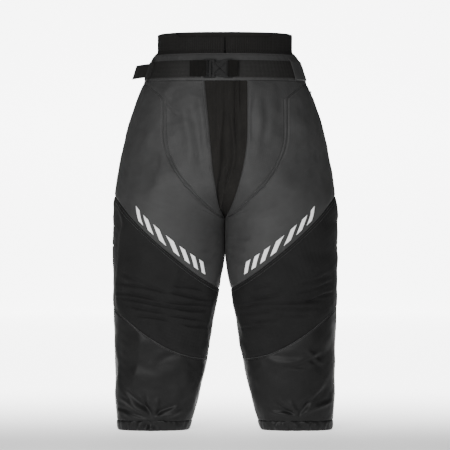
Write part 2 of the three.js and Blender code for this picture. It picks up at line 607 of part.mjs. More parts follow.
function buckle() {
	const back = wallY(0, BELT_Z, beltOuter + 1.2);
	const front = back - BUCKLE_DEPTH;
	const reach = BUCKLE_HEIGHT / 2;
	const low = BELT_Z - reach;
	const high = BELT_Z + reach;
	const cornerX = BUCKLE_RIGHT;

	// Female half: a flat sleeve, open at its mouth, with a window in each edge over the prongs
	// and a bar at its end for the belt.
	const waistX = BUCKLE_MOUTH + 14;
	const outline = [
		[BUCKLE_MOUTH, low + 1], [BUCKLE_MOUTH + 5, low], [waistX, low + 5], [cornerX - 19, low + 1],
		[cornerX - 14, low], [cornerX, low], [cornerX, high], [cornerX - 14, high],
		[cornerX - 19, high - 1], [waistX, high - 5], [BUCKLE_MOUTH + 5, high], [BUCKLE_MOUTH, high - 1],
	];
	const channelEnd = cornerX - BAR - SLOT - 4;
	const slot = [[cornerX - BAR - SLOT, low + 3], [cornerX - BAR, low + 3],
		[cornerX - BAR, high - 3], [cornerX - BAR - SLOT, high - 3]];
	const sleeve = solid(plate(outline, front, back, [slot]));
	const channel = solid(boxAt([BUCKLE_MOUTH - 1, front + BUCKLE_WALL, low + 2.2],
		[channelEnd, back - BUCKLE_WALL, high - 2.2]));
	const windows = [[low - 1, low + 9], [high - 9, high + 1]].map(([a, b]) =>
		solid(boxAt([BUCKLE_MOUTH + 9, front - 1, a], [BUCKLE_MOUTH + 24, back + 1, b])));
	const female = windows.reduce((made, w) => made.subtract(w), sleeve.subtract(channel));
	addMesh('buckle_female', fromSolid(female), plastic);

	// Male half: a frame with two bars that the belt threads through, and a centre guide.
	const midFront = front + BUCKLE_WALL + PRONG_CLEARANCE;
	const midBack = back - BUCKLE_WALL - PRONG_CLEARANCE;
	const frameEnd = BUCKLE_MOUTH - 1;
	const opening = (x) => solid(boxAt([x, front - 1, low + 3], [x + SLOT, back + 1, high - 3]));
	const frameSolid = solid(boxAt([BUCKLE_LEFT, front + 1, low], [frameEnd, back - 1, high]))
		.subtract(opening(BUCKLE_LEFT + 3)).subtract(opening(BUCKLE_LEFT + 11));
	const guide = solid(boxAt([frameEnd - 1, midFront, BELT_Z - 4], [BUCKLE_MOUTH + 22, midBack, BELT_Z + 4]));
	addMesh('buckle_male', fromSolid(frameSolid.add(guide)), plastic);

	// Each prong flexes about its root, just clear of the frame.
	const root = frameEnd + PRONG_CLEARANCE;
	const prongTip = BUCKLE_MOUTH + 26;
	for (const [name, way] of [['prong_upper', 1], ['prong_lower', -1]]) {
		const z = (v) => BELT_Z + way * v;
		const inner = 13;
		const points = [
			[root, z(inner)], [root + 12, z(inner)], [prongTip - 6, z(inner + 2)], [prongTip, z(inner + 3)],
			[prongTip - 2, z(inner + PRONG_WIDTH + 1)], [prongTip - 9, z(inner + PRONG_WIDTH + 2.5)],
			[root + 14, z(inner + PRONG_WIDTH)], [root, z(inner + PRONG_WIDTH - 1)],
		];
		const ordered = way > 0 ? points : points.toReversed();
		addMesh(name, welded(plate(ordered, midFront, midBack)), plastic);
	}

	// The belt's fixed end, folded round the female bar.
	const fold = (x, length, way, barDepth) => {
		const gap = 0.8;
		const a = front + (BUCKLE_DEPTH - barDepth) / 2 - gap;
		const b = back - (BUCKLE_DEPTH - barDepth) / 2 + gap;
		const clear = x + way * 0.6;
		const outer = [[clear, a - WEBBING], [x + way * length, a - WEBBING], [x + way * length, a],
			[clear + way * WEBBING, a], [clear + way * WEBBING, b], [clear, b]];
		const shape = new THREE.Shape(outer.map(([px, py]) => new THREE.Vector2(px, py)));
		const size = BUCKLE_HEIGHT - 7.2; // the bar's clear height, less a little
		return new THREE.ExtrudeGeometry(shape, { depth: size, bevelEnabled: false })
			.translate(0, 0, BELT_Z - size / 2);
	};
	const foldFixed = fold(cornerX - BAR - SLOT + 0.4, 26, 1, BUCKLE_DEPTH);
	addMesh('belt_fold_fixed', welded(foldFixed), webbing);
	const foldSliding = fold(BUCKLE_LEFT + 8 - 0.4, 44, -1, BUCKLE_DEPTH - 2);
	addMesh('belt_fold_sliding', welded(foldSliding), webbing);
}

// The free end of the belt: flat under the loop on the right hip, then standing out past it.
function beltTail() {
	const narrower = 4; // at each edge, so that it slides under the loop
	const inner = beltOuter + LAYER_GAP;
	const corners = strip(inner, inner + WEBBING, beltLow + narrower, beltHigh - narrower);
	const underLoop = [0.822, 0.806, 0.79]; // where round the waist it lies flat
	const standingOut = [[-9, 13, 0], [-24, 22, -1], [-36, 26, -3]]; // how far its free end is away
	const sections = underLoop.map((around) =>
		corners.map(([offset, height]) => bodyPoint(around, height, offset)));
	const held = sections.at(-1);
	for (const [dx, dy, dz] of standingOut) {
		sections.push(held.map((p) => p.clone().add(new THREE.Vector3(dx, dy, dz))));
	}
	addMesh('belt_tail', loft(sections), webbing);
}

function hipSnap() {
	const height = WAIST_Z - 28;
	const place = skin(1, 0.88, height);
	const ahead = skin(1, 0.9, height).sub(skin(1, 0.86, height));
	const outwards = new THREE.Vector3(ahead.y, -ahead.x, 0).normalize();
	const cap = new THREE.CylinderGeometry(3.4, 4.2, 2.2, 16);
	const mesh = addMesh('hip_snap', welded(cap), metal);
	mesh.quaternion.setFromUnitVectors(new THREE.Vector3(0, 1, 0), outwards);
	mesh.position.copy(place.addScaledVector(outwards, 2.8));
}

leg('right', -1);
leg('left', 1);
seat('right', -1);
seat('left', 1);
flyGusset();
seatLining();
tailPad();
waist();
belt();
buckle();
beltTail();
hipSnap();

// The origin is the centre of the waist opening, level with the belt.
group.position.z = -BELT_Z;

export default group;
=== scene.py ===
"""Padded goalkeeper trousers: cloth, stitching, elastic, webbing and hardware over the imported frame."""

import math

import bpy
import numpy as np
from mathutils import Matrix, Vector
from mathutils.bvhtree import BVHTree


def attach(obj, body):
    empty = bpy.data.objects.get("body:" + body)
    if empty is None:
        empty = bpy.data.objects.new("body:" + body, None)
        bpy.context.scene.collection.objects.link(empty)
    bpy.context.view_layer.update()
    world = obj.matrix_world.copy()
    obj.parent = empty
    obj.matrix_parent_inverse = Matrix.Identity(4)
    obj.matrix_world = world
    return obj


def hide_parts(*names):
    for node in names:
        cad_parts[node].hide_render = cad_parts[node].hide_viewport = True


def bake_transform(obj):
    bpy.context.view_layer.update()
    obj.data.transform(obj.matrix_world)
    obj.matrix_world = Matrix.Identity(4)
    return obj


bl_info = {
    "name": "Padded Goalkeeper Trousers",
    "version": (1, 0, 0),
    "blender": (4, 5, 0),
    "location": "3D View > Sidebar > Trousers",
    "description": "Builds the sewn cloth, trims and studio for a pair of padded trousers",
    "category": "Object",
}

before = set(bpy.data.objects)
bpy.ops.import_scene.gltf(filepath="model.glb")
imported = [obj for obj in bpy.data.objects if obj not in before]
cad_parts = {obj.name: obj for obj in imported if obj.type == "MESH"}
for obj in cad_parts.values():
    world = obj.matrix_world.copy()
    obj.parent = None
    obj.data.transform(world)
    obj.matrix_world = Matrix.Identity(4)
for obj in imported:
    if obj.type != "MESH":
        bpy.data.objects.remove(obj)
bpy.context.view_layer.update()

MM = 0.001
WORDS = {-1: "right", 1: "left"}

# ---------- the garment's outer surface, in millimetres above the hem ----------

BELT_HEIGHT = 965
CROTCH = 566
RISE_FRONT_TOP = 690
RISE_BACK_TOP = 716
FLY_BOTTOM = 568
PRINCESS_BEND = 790
HIP_CORNER = 886
PANEL_TOP = 933.4
WAIST = 935
WAIST_TOP = 1005
BAND_LOW = 1006.6
BAND_TOP = 1062.6
HEM_TOP = 28
GUSSET_LOW = 660
GUSSET_TOP = 695
KNEE_SEAM_LOW, KNEE_SEAM_HIGH = 381, 629  # the upper knee seam at the inseam and at the side
SHIN_SEAM_LOW, SHIN_SEAM_HIGH = 193, 330
KNEE_BACK_HIGH = 496  # top of the stretch cloth behind the knee, at the side
KNEE_BACK_LOW = 215  # its lower edge at the inseam
SQUARENESS = 2.3

STATION_HEIGHTS = np.array([0, 100, 210, 350, 480, 566, 660, 790, 880, 935, 1005, 1017, 1062.6])
STATION_SIZES = {
    "outer": np.array([290, 297, 298, 302, 304, 304, 293, 270, 243, 219, 193, 182, 182.0]),
    "inner": np.array([96, 67, 44, 20, 1.5, 1.5, 1.5, 0, 0, 0, 0, 0, 0]),
    "front": np.array([58, 70, 82, 96, 106, 112, 122, 128, 124, 116, 108, 105, 105.0]),
    "back": np.array([62, 75, 88, 98, 110, 118, 130, 140, 136, 126, 116, 111, 111.0]),
}


def lerp(a, b, t):
    return a + (b - a) * t


def smoothstep(x, low, high):
    t = np.clip((x - low) / (high - low), 0, 1)
    return t * t * (3 - 2 * t)


def measure(key, height):
    """A smooth value at each height, through one measure of the stations."""
    values = STATION_SIZES[key]
    last = len(values) - 1
    at = np.clip(height, STATION_HEIGHTS[0], STATION_HEIGHTS[-1])
    slopes = np.diff(values) / np.diff(STATION_HEIGHTS)
    before, after = slopes[:-1], slopes[1:]
    total = before + after
    same_way = before * after > 0
    inner = np.where(same_way, 2 * before * after / np.where(same_way, total, 1), 0)
    tangents = np.concatenate([slopes[:1], inner, slopes[-1:]])
    i = np.clip(np.searchsorted(STATION_HEIGHTS[1:], at), 0, last - 1)
    span = STATION_HEIGHTS[i + 1] - STATION_HEIGHTS[i]
    t = (at - STATION_HEIGHTS[i]) / span
    t2, t3 = t * t, t * t * t
    return (
        (2 * t3 - 3 * t2 + 1) * values[i]
        + (t3 - 2 * t2 + t) * span * tangents[i]
        + (3 * t2 - 2 * t3) * values[i + 1]
        + (t3 - t2) * span * tangents[i + 1]
    )


def rounded(v):
    return np.sign(v) * np.abs(v) ** (2 / SQUARENESS)


def start_angle(height, is_back):
    """A quarter turn where the legs are one tube, nought where each leg is its own."""
    top = np.where(is_back, RISE_BACK_TOP, RISE_FRONT_TOP)
    up = np.clip((height - CROTCH) / (top - CROTCH), 0, 1.4)
    over = np.maximum(up - 0.6, 0)
    return (math.pi / 2) * (up - over * over / 1.6)


def section(height, out, is_back):
    start = start_angle(height, is_back)
    outer = measure("outer", height) + out
    inner = measure("inner", height) - out * np.cos(start)
    half_width = (outer - inner) / (1 + rounded(np.cos(start)))
    depth = np.where(is_back, measure("back", height), measure("front", height)) + out
    return start, outer - half_width, half_width, depth


def skin(side, turn, height, out=0.0):
    """Points of the garment, moved outwards by out. turn: 0 inner edge, 1 side seam, 2 behind."""
    turn, height, out = np.broadcast_arrays(np.asarray(turn, float), height, out)
    is_back = turn > 1
    start, middle, half_width, depth = section(height, out, is_back)
    angle = start + np.where(is_back, 2 - turn, turn) * (math.pi - start)
    x = middle - half_width * rounded(np.cos(angle))
    y = depth * rounded(np.sin(angle))
    return np.stack([side * x, np.where(is_back, y, -y), height], -1)


def turn_at(x, height):
    """The turn at which the front of the garment is x from its centre."""
    start, middle, half_width, _ = section(height, 0, np.zeros(np.shape(height), bool))
    share = np.clip((middle - x) / half_width, -1, 1)
    cosine = np.sign(share) * np.abs(share) ** (SQUARENESS / 2)
    return np.clip((np.arccos(cosine) - start) / (math.pi - start), 0, 1)


def turn_at_share(share, height):
    start = start_angle(height, False)
    return np.clip((math.pi * share - start) / (math.pi - start), 0, 1)


def share_at_turn(turn, height):
    start = start_angle(height, False)
    return (start + turn * (math.pi - start)) / math.pi


def body_skin(around, height, out=0.0):
    """Points round the body: around is 0 in front, 0.25 at the left side, 0.5 behind."""
    around, height, out = np.broadcast_arrays(np.asarray(around, float), height, out)
    share = around - np.floor(around)
    turn = np.minimum(share, 1 - share) * 4
    points = skin(1, turn, height, out)
    points[..., 0] *= np.where(share <= 0.5, 1, -1)
    return points


def around_at(x, height):
    share = float(turn_at(abs(x), np.array(float(height)))) / 4
    return share if x >= 0 else -share


# ---------- seam lines ----------

def across(turn):
    return (1 - rounded(np.cos(math.pi * turn))) / 2


def knee_seam(turn):
    s = across(turn)
    return lerp(KNEE_SEAM_LOW, KNEE_SEAM_HIGH, 0.58 * s + 0.42 * s * s)


def shin_seam(turn):
    s = across(turn)
    return lerp(SHIN_SEAM_LOW, SHIN_SEAM_HIGH, 0.1 * s + 0.9 * s * s)


def knee_back_top(turn):
    return lerp(KNEE_SEAM_LOW, KNEE_BACK_HIGH, across(2 - turn))


def knee_back_bottom(turn):
    return lerp(KNEE_BACK_LOW, SHIN_SEAM_HIGH, across(2 - turn))


def princess_x(height):
    """How far from the centre the curved front seam runs."""
    t = np.linspace(0, 1, 200)
    x = (1 - t) ** 2 * 162 + 2 * t * (1 - t) * 158 + t * t * 4
    z = (1 - t) ** 2 * PRINCESS_BEND + 2 * t * (1 - t) * 685 + t * t * CROTCH
    low = np.interp(height, z[::-1], x[::-1])
    out = np.clip((height - HIP_CORNER) / (PANEL_TOP - HIP_CORNER), 0, 1)
    return low + (measure("outer", np.array(PANEL_TOP)) - 162) * out


def princess_turn(height):
    return turn_at(princess_x(height), height)


def fly_x(height, side):
    """How far from the centre a belly panel's edge beside the fly runs: straighter on the right."""
    up = np.clip((height - CROTCH) / (PANEL_TOP - CROTCH), 0, 1)
    bowed = 60 * np.sin(math.pi / 2 * np.minimum(1, up * 1.5)) ** 0.9
    straight = np.interp(height, [562, 701, 933], [8, 33, 55])
    return bowed if side > 0 else np.minimum(bowed, straight)


# ---------- panels: each maps (s, t) in the unit square to (turn, height) ----------

def thigh_edge(height):
    """The thigh panel's inner edge: the inseam, then from the crotch up the curved front seam."""
    return share_at_turn(np.where(height < CROTCH, 0, princess_turn(height)), height)


# the same edge with its corner at the crotch eased, which the rows further in follow
EDGE_HEIGHTS = np.linspace(300, 1000, 701)
EASING = np.hanning(121) / np.hanning(121).sum()
EASED_EDGE = np.convolve(thigh_edge(EDGE_HEIGHTS), EASING, mode="same")


def map_thigh_front(s, t):
    inner_height = lerp(KNEE_SEAM_LOW, 925, t)
    eased = np.interp(inner_height, EDGE_HEIGHTS, EASED_EDGE)
    share = lerp(lerp(thigh_edge(inner_height), eased, smoothstep(s, 0, 0.35)), 1, s)
    height = lerp(inner_height, lerp(KNEE_SEAM_HIGH, 930, t), s)
    height = height + (1 - t) ** 2 * (knee_seam(s) - lerp(KNEE_SEAM_LOW, KNEE_SEAM_HIGH, s))
    return turn_at_share(share, height), height


def map_belly(side):
    def mapping(s, t):
        height = lerp(FLY_BOTTOM, PANEL_TOP + 3, t)
        edge = np.minimum(height, PANEL_TOP)
        return lerp(turn_at(fly_x(edge, side), edge), princess_turn(edge), s), height
    return mapping


def map_knee(s, t):
    height = lerp(shin_seam(s), knee_seam(s), t)
    return turn_at_share(s, height), height


def map_shin(s, t):
    return s, lerp(HEM_TOP - 3, shin_seam(s), t)


def behind(low, high):
    """A panel behind, from the side seam to the inseam, between two edges."""
    def mapping(s, t):
        turn = 1 + s
        a = low(turn) if callable(low) else low
        b = high(turn) if callable(high) else high
        return turn, lerp(a, b, t)
    return mapping


# ---------- folds ----------

# Each fold lies along a line on the front or the back: x and height of its two ends in
# millimetres, its width, and how far it stands out (or in, where negative).
FRONT_FOLDS = [
    # soft vertical folds in the belly panels
    (-90, 890, -66, 690, 13, -2.2), (-70, 905, -52, 735, 10, 1.6), (-108, 880, -92, 690, 15, 1.4),
    (78, 890, 66, 775, 8, -2.0), (94, 860, 84, 720, 11, 1.6), (112, 900, 100, 760, 12, -1.6),
    # the hip, under the side of the waistband
    (-150, 925, -140, 800, 14, -1.8), (150, 925, 138, 815, 14, -1.6), (-168, 893, -124, 842, 5, 2.2),
    # across the knees
    (-284, 398, -150, 372, 4.5, -4.4), (-290, 372, -170, 352, 4.5, -4.8), (-282, 356, -120, 330, 3.6, -4.1),
    (-262, 336, -150, 318, 4.5, -4.4), (-240, 312, -140, 296, 3.6, -3.7), (-276, 420, -190, 385, 5.4, -3.4),
    (-150, 372, -40, 352, 4.5, -4.8), (-160, 348, -36, 336, 3.6, -4.1), (-136, 330, -44, 322, 4.5, -4.8),
    (-150, 310, -60, 300, 3.6, -3.7), (-110, 288, -40, 276, 4.5, -3.4), (-140, 392, -60, 380, 4.5, -3.1),
    (282, 398, 190, 368, 4.5, -4.4), (286, 370, 210, 346, 4.5, -4.8), (262, 350, 120, 344, 3.6, -4.1),
    (250, 330, 110, 332, 4.5, -4.4), (232, 312, 130, 310, 3.6, -3.7), (276, 418, 196, 392, 5.4, -3.4),
    (150, 366, 56, 356, 4.5, -4.8), (140, 346, 46, 334, 3.6, -4.1), (130, 322, 44, 316, 4.5, -4.4),
    (150, 300, 60, 294, 3.6, -3.7), (110, 280, 44, 276, 4.5, -3.4), (130, 392, 60, 384, 4.5, -3.1),
    # puckers on the inner thighs
    (-8, 535, -70, 510, 7, -2.2), (-6, 508, -62, 478, 7, -2.4), (-8, 478, -50, 450, 7, -2.0),
    (8, 530, 66, 512, 7, -2.2), (6, 500, 60, 480, 7, -2.4), (8, 470, 52, 446, 7, -2.0),
    # soft folds of the lower legs, gathered towards the middle of the hem
    (-262, 178, -150, 168, 16, -1.6), (-180, 152, -112, 176, 14, 1.2), (-268, 110, -196, 52, 7, -4.4),
    (-282, 84, -204, 44, 6, 3.7), (-196, 40, -222, 92, 6, -3.7), (-192, 40, -176, 90, 6, 3.4),
    (-188, 42, -128, 76, 6, -4.4), (-186, 36, -112, 52, 6, 3.7), (-288, 60, -214, 38, 5, -3.7),
    (262, 200, 178, 176, 7, -3.7), (214, 214, 262, 178, 6, 3.1), (236, 168, 160, 178, 6, -3.4),
    (270, 116, 204, 56, 7, -4.1), (284, 80, 208, 44, 6, 3.7), (196, 38, 226, 90, 6, -3.7),
    (192, 38, 176, 84, 6, 3.4), (188, 44, 132, 78, 6, -4.4), (186, 38, 118, 54, 6, 3.7),
    (-110, 210, -190, 188, 10, -2.4), (110, 214, 200, 190, 10, -2.4),
]
BACK_FOLDS = [
    (20, 720, 150, 690, 14, -2.6), (12, 640, 160, 668, 12, -2.8), (8, 610, 120, 640, 11, -2.4),
    (40, 360, 260, 352, 12, -3.6), (30, 330, 250, 322, 11, 2.4), (36, 300, 240, 296, 11, -3.2),
    (60, 400, 270, 410, 12, -2.6), (60, 160, 250, 140, 13, -2.2), (90, 60, 240, 84, 12, -2.2),
    (60, 900, 66, 780, 13, -1.8), (120, 905, 130, 800, 14, -1.8),
]


def ridge(x, z, fold):
    x0, z0, x1, z1, width, amount = fold
    dx, dz = x1 - x0, z1 - z0
    length = math.hypot(dx, dz)
    along = ((x - x0) * dx + (z - z0) * dz) / length ** 2
    wander = 0.35 * width * np.sin(along * 5.0 + x0)
    aside = ((x - x0) * dz - (z - z0) * dx) / length + wander
    taper = smoothstep(along, -0.12, 0.25) * (1 - smoothstep(along, 0.7, 1.1))
    shape = np.exp(-((aside / width) ** 2)) - 0.45 * np.exp(-(((aside - 1.5 * width) / width) ** 2))
    return amount * taper * shape


def ripples(x, z, seed, shortest, longest, count=14):
    """A smooth random field of unit size made of waves running in many directions."""
    made = np.random.default_rng(seed)
    total = np.zeros(np.shape(x))
    for _ in range(count):
        length = made.uniform(shortest, longest)
        heading = made.uniform(0, math.pi)
        phase = made.uniform(0, 2 * math.pi)
        travel = x * math.cos(heading) + z * math.sin(heading)
        total = total + np.sin(2 * math.pi * travel / length + phase)
    return total / math.sqrt(count / 2)


def folds(side, turn, height):
    """How far the cloth stands out from its plain shape, in millimetres."""
    base = skin(side, turn, height)
    x, z = base[..., 0], base[..., 2]
    front = 1 - smoothstep(turn, 0.93, 1.07)
    ahead = sum(ridge(x, z, fold) for fold in FRONT_FOLDS)
    rear = sum(ridge(x * side, z, fold) for fold in BACK_FOLDS)
    around = np.where(turn > 1, 2 - turn, turn) * 320
    soft = 0.45 * ripples(around, z, 7 + side, 45, 110) + 0.12 * ripples(around, z, 17 + side, 18, 34)
    return ahead * front + rear * (1 - front) + soft


# ---------- meshes ----------

def grid_faces(rows, columns, wraps=False):
    i, j = np.meshgrid(np.arange(rows - 1), np.arange(columns if wraps else columns - 1), indexing="ij")
    after = (j + 1) % columns
    low, high = i * columns, (i + 1) * columns
    return np.stack([low + j, low + after, high + after, high + j], -1)


def closed_sheet(outer, inner, wraps=False):
    """Points and quads of a sheet with an outer and an inner face and its edges closed."""
    rows, columns = outer.shape[:2]
    front = grid_faces(rows, columns, wraps).reshape(-1, 4)
    shift = rows * columns
    count = columns if wraps else columns - 1
    j = np.arange(count)
    after = (j + 1) % columns
    faces = [front, front[:, ::-1] + shift]
    top = (rows - 1) * columns
    faces.append(np.stack([after, j, j + shift, after + shift], -1))
    faces.append(np.stack([top + j, top + after, top + after + shift, top + j + shift], -1))
    if not wraps:
        i = np.arange(rows - 1) * columns
        faces.append(np.stack([i, i + columns, i + columns + shift, i + shift], -1))
        e = i + columns - 1
        faces.append(np.stack([e + columns, e, e + shift, e + columns + shift], -1))
    return np.concatenate([outer.reshape(-1, 3), inner.reshape(-1, 3)]), np.concatenate(faces)


def make_object(name, points, faces, material, uv=None, smooth=True):
    """A mesh object from points in millimetres above the hem, with its faces turned outwards."""
    world = np.asarray(points, float) * MM
    world[:, 2] -= BELT_HEIGHT * MM
    a, b, c = (world[faces[:, k]] for k in (0, 1, 2))
    volume = np.einsum("ij,ij->", a, np.cross(b, c))
    if faces.shape[1] == 4:
        volume += np.einsum("ij,ij->", a, np.cross(c, world[faces[:, 3]]))
    if volume < 0:
        faces = faces[:, ::-1]
    mesh = bpy.data.meshes.new(name)
    mesh.from_pydata(world.tolist(), [], faces.tolist())
    mesh.polygons.foreach_set("use_smooth", np.full(len(faces), smooth))
    layer = mesh.uv_layers.new(name="Cloth")
    flat = (uv if uv is not None else points[:, [0, 2]]) * MM
    layer.data.foreach_set("uv", flat[faces.reshape(-1)].astype(np.float32).reshape(-1))
    mesh.materials.append(material)
    made = bpy.data.objects.new(name, mesh)
    bpy.context.scene.collection.objects.link(made)
    return made


INSEAM_PUFF = 1.6  # the two thighs just touch below the crotch
EDGE_STEPS = np.array([0, 0.8, 1.8, 3, 4.2, 5.4, 7, 9, 10.5, 12, 15.5])


def edge_spacing(length, count):
    """For each length, places along it: close together at both ends, then even."""
    near = EDGE_STEPS[None, :] * np.minimum(1, length / 75)[:, None] / length[:, None]
    reach = near[:, -1:]
    middle = reach + (1 - 2 * reach) * np.linspace(0, 1, count)[None, 1:-1]
    return np.concatenate([near, middle, 1 - near[:, ::-1]], 1)


def arc(points, axis):
    return np.linalg.norm(np.diff(points, axis=axis), axis=-1).sum(axis)


def settle(side, mapping, growth, pressure):
    """Lets a panel's spare cloth buckle with its edges held. Gives (s, t, push) to look up."""
    flat = skin(side, *mapping(*np.meshgrid(np.linspace(0, 1, 12), np.linspace(0, 1, 12))))
    columns = max(8, int(arc(flat, 1).max() / 9))
    rows = max(8, int(arc(flat, 0).max() / 9))
    s, t = np.meshgrid(np.linspace(0, 1, columns), np.linspace(0, 1, rows))
    turn, height = mapping(s, t)
    start = skin(side, turn, height) * MM
    outwards = skin(side, turn, height, 1.0) * MM - start
    outwards /= np.linalg.norm(outwards, axis=-1, keepdims=True)
    mesh = bpy.data.meshes.new("settling")
    mesh.from_pydata(start.reshape(-1, 3).tolist(), [], grid_faces(rows, columns).reshape(-1, 4).tolist())
    cloth_piece = bpy.data.objects.new("settling", mesh)
    bpy.context.scene.collection.objects.link(cloth_piece)
    held = cloth_piece.vertex_groups.new(name="held")
    border = np.zeros((rows, columns), bool)
    border[:1, :] = border[-1:, :] = border[:, :1] = border[:, -1:] = True
    held.add([int(k) for k in np.flatnonzero(border)], 1.0, "REPLACE")
    modifier = cloth_piece.modifiers.new("Cloth", "CLOTH")
    cloth = modifier.settings
    cloth.quality = 6
    cloth.mass = 0.15
    cloth.tension_stiffness = 20
    cloth.compression_stiffness = 20
    cloth.shear_stiffness = 6
    cloth.bending_stiffness = 0.4
    cloth.vertex_group_mass = "held"
    cloth.shrink_min = -growth
    cloth.use_pressure = True
    cloth.uniform_pressure_force = pressure
    cloth.effector_weights.gravity = 0
    scene = bpy.context.scene
    for step in range(1, 21):
        scene.frame_set(step)
    found = cloth_piece.evaluated_get(bpy.context.evaluated_depsgraph_get()).to_mesh()
    now = np.zeros(rows * columns * 3)
    found.vertices.foreach_get("co", now)
    push = np.einsum("ijk,ijk->ij", now.reshape(rows, columns, 3) - start, outwards) / MM
    scene.frame_set(1)
    bpy.data.objects.remove(cloth_piece)
    return push


def calmed(push, times):
    """The same field with its sharpest creases eased, the more times the more."""
    for _ in range(times):
        wide = np.pad(push, 1, mode="edge")
        push = 0.5 * push + 0.125 * (wide[:-2, 1:-1] + wide[2:, 1:-1] + wide[1:-1, :-2] + wide[1:-1, 2:])
    return push


def look_up(push, s, t):
    """push at each (s, t), along a cubic spline through its own grid."""
    rows, columns = push.shape
    x, y = np.clip(s, 0, 1) * (columns - 1), np.clip(t, 0, 1) * (rows - 1)
    i, j = np.minimum(y.astype(int), rows - 2), np.minimum(x.astype(int), columns - 2)
    padded = np.pad(push, 1, mode="reflect", reflect_type="odd")
    total = np.zeros(x.shape)
    for row, by_row in enumerate(spline_shares(y - i)):
        for column, by_column in enumerate(spline_shares(x - j)):
            total += padded[i + row, j + column] * by_row * by_column
    return total


def spline_shares(u):
    """What each of the four grid points around a place counts for."""
    return ((1 - u) ** 3 / 6, (3 * u ** 3 - 6 * u ** 2 + 4) / 6,
            (3 * u + 3 * u ** 2 - 3 * u ** 3 + 1) / 6, u ** 3 / 6)


def sewn_panel(name, side, mapping, material, slot, *, crown=0.0, thickness=2.4, growth=0.03,
               pressure=1.5, grooves=None, spacing=3.6, fold_share=1.0, depth=2.4, limit=3.5,
               calm=3, corded=()):
    """A panel of cloth sewn in along its edges. Gives the object, its outer face and its area."""
    coarse = skin(side, *mapping(*np.meshgrid(np.linspace(0, 1, 60), np.linspace(0, 1, 60))))
    width, tall = np.maximum(arc(coarse, 1), 6), np.maximum(arc(coarse, 0), 6)
    columns = max(8, int(width.max() / spacing))
    rows = max(8, int(tall.max() / spacing))
    even = np.linspace(0, 1, 60)
    t_even = edge_spacing(np.array([tall.max()]), rows)[0]
    s = edge_spacing(np.interp(t_even, even, width), columns)
    s_mean = s.mean(0)
    t = edge_spacing(np.interp(s_mean, even, tall), rows).T
    turn, height = mapping(s, t)
    wide = np.interp(t_even, even, width)[:, None]
    high = np.interp(s_mean, even, tall)[None, :]
    edges = {"left": s * wide, "right": (1 - s) * wide, "bottom": t * high, "top": (1 - t) * high}
    push = np.zeros(s.shape)
    settled = calmed(settle(side, mapping, growth, pressure), calm)
    push = limit * np.tanh(look_up(settled, s, t) / limit)
    nearest = np.minimum.reduce(list(edges.values()))
    push = push + fold_share * folds(side, turn, height) * smoothstep(nearest, -4, 12)
    push += crown * (1 - np.exp(-((nearest / 22) ** 2)))
    gather = ripples(s * wide, t * high, 31 + side, 7, 13, 8)
    push += 0.15 * gather * np.exp(-((nearest / 13) ** 2))
    seam = np.zeros(s.shape)
    for key, away in edges.items():
        if key in corded:
            cord = 0.9 * np.exp(-((away / 2.6) ** 4)) - 2.0 * np.exp(-(((away - 4.6) / 1.5) ** 2))
            seam = seam + cord
            continue
        seam = np.minimum(seam, -depth * np.exp(-((away / 2.4) ** 2)))
        for place in (grooves or {}).get(key, ()):
            seam = seam - 0.8 * np.exp(-(((away - place) / 0.9) ** 2))
    push += seam
    inseam = 1 - smoothstep(np.minimum(turn, 2 - turn), 0.0, 0.13)
    touching = inseam * smoothstep(height, 425, 470) * (1 - smoothstep(height, CROTCH, 640))
    push = lerp(push, INSEAM_PUFF, touching)
    outer = skin(side, turn, height, push)
    inner = skin(side, turn, height, push - thickness)
    points, faces = closed_sheet(outer, inner)
    flat = np.stack([s * wide, t * high], -1).reshape(-1, 2)
    made = make_object(name, points, faces, material, np.concatenate([flat, flat]))
    area = float((width.mean() * tall.mean()) * MM * MM)
    return made, outer, (area / (tall.mean() * MM), tall.mean() * MM), edges


def edge_line(outer, edges, key, place):
    """The line of the outer face that runs place millimetres in from one edge."""
    away = edges[key]
    if key in ("left", "right"):
        j = int(np.abs(away - place).mean(0).argmin())
        return outer[:, j]
    i = int(np.abs(away - place).mean(1).argmin())
    return outer[i]


def even_points(path, step):
    """Points along a path, step apart."""
    along = np.concatenate([[0], np.cumsum(np.linalg.norm(np.diff(path, axis=0), axis=1))])
    count = max(2, int(along[-1] / step))
    at = np.linspace(0, along[-1], count)
    return np.stack([np.interp(at, along, path[:, k]) for k in range(3)], -1)


def away_from_leg(points):
    """Unit vectors pointing out of the garment at points on it."""
    turned = np.stack([points[:, 0], points[:, 1], np.zeros(len(points))], -1)
    high = points[:, 2] > 690
    middle = np.where(high, 0, np.sign(points[:, 0]) * 150)
    turned[:, 0] = (turned[:, 0] - middle) * np.where(high, 0.3, 0.45)
    return turned / np.maximum(np.linalg.norm(turned, axis=1, keepdims=True), 1e-6)


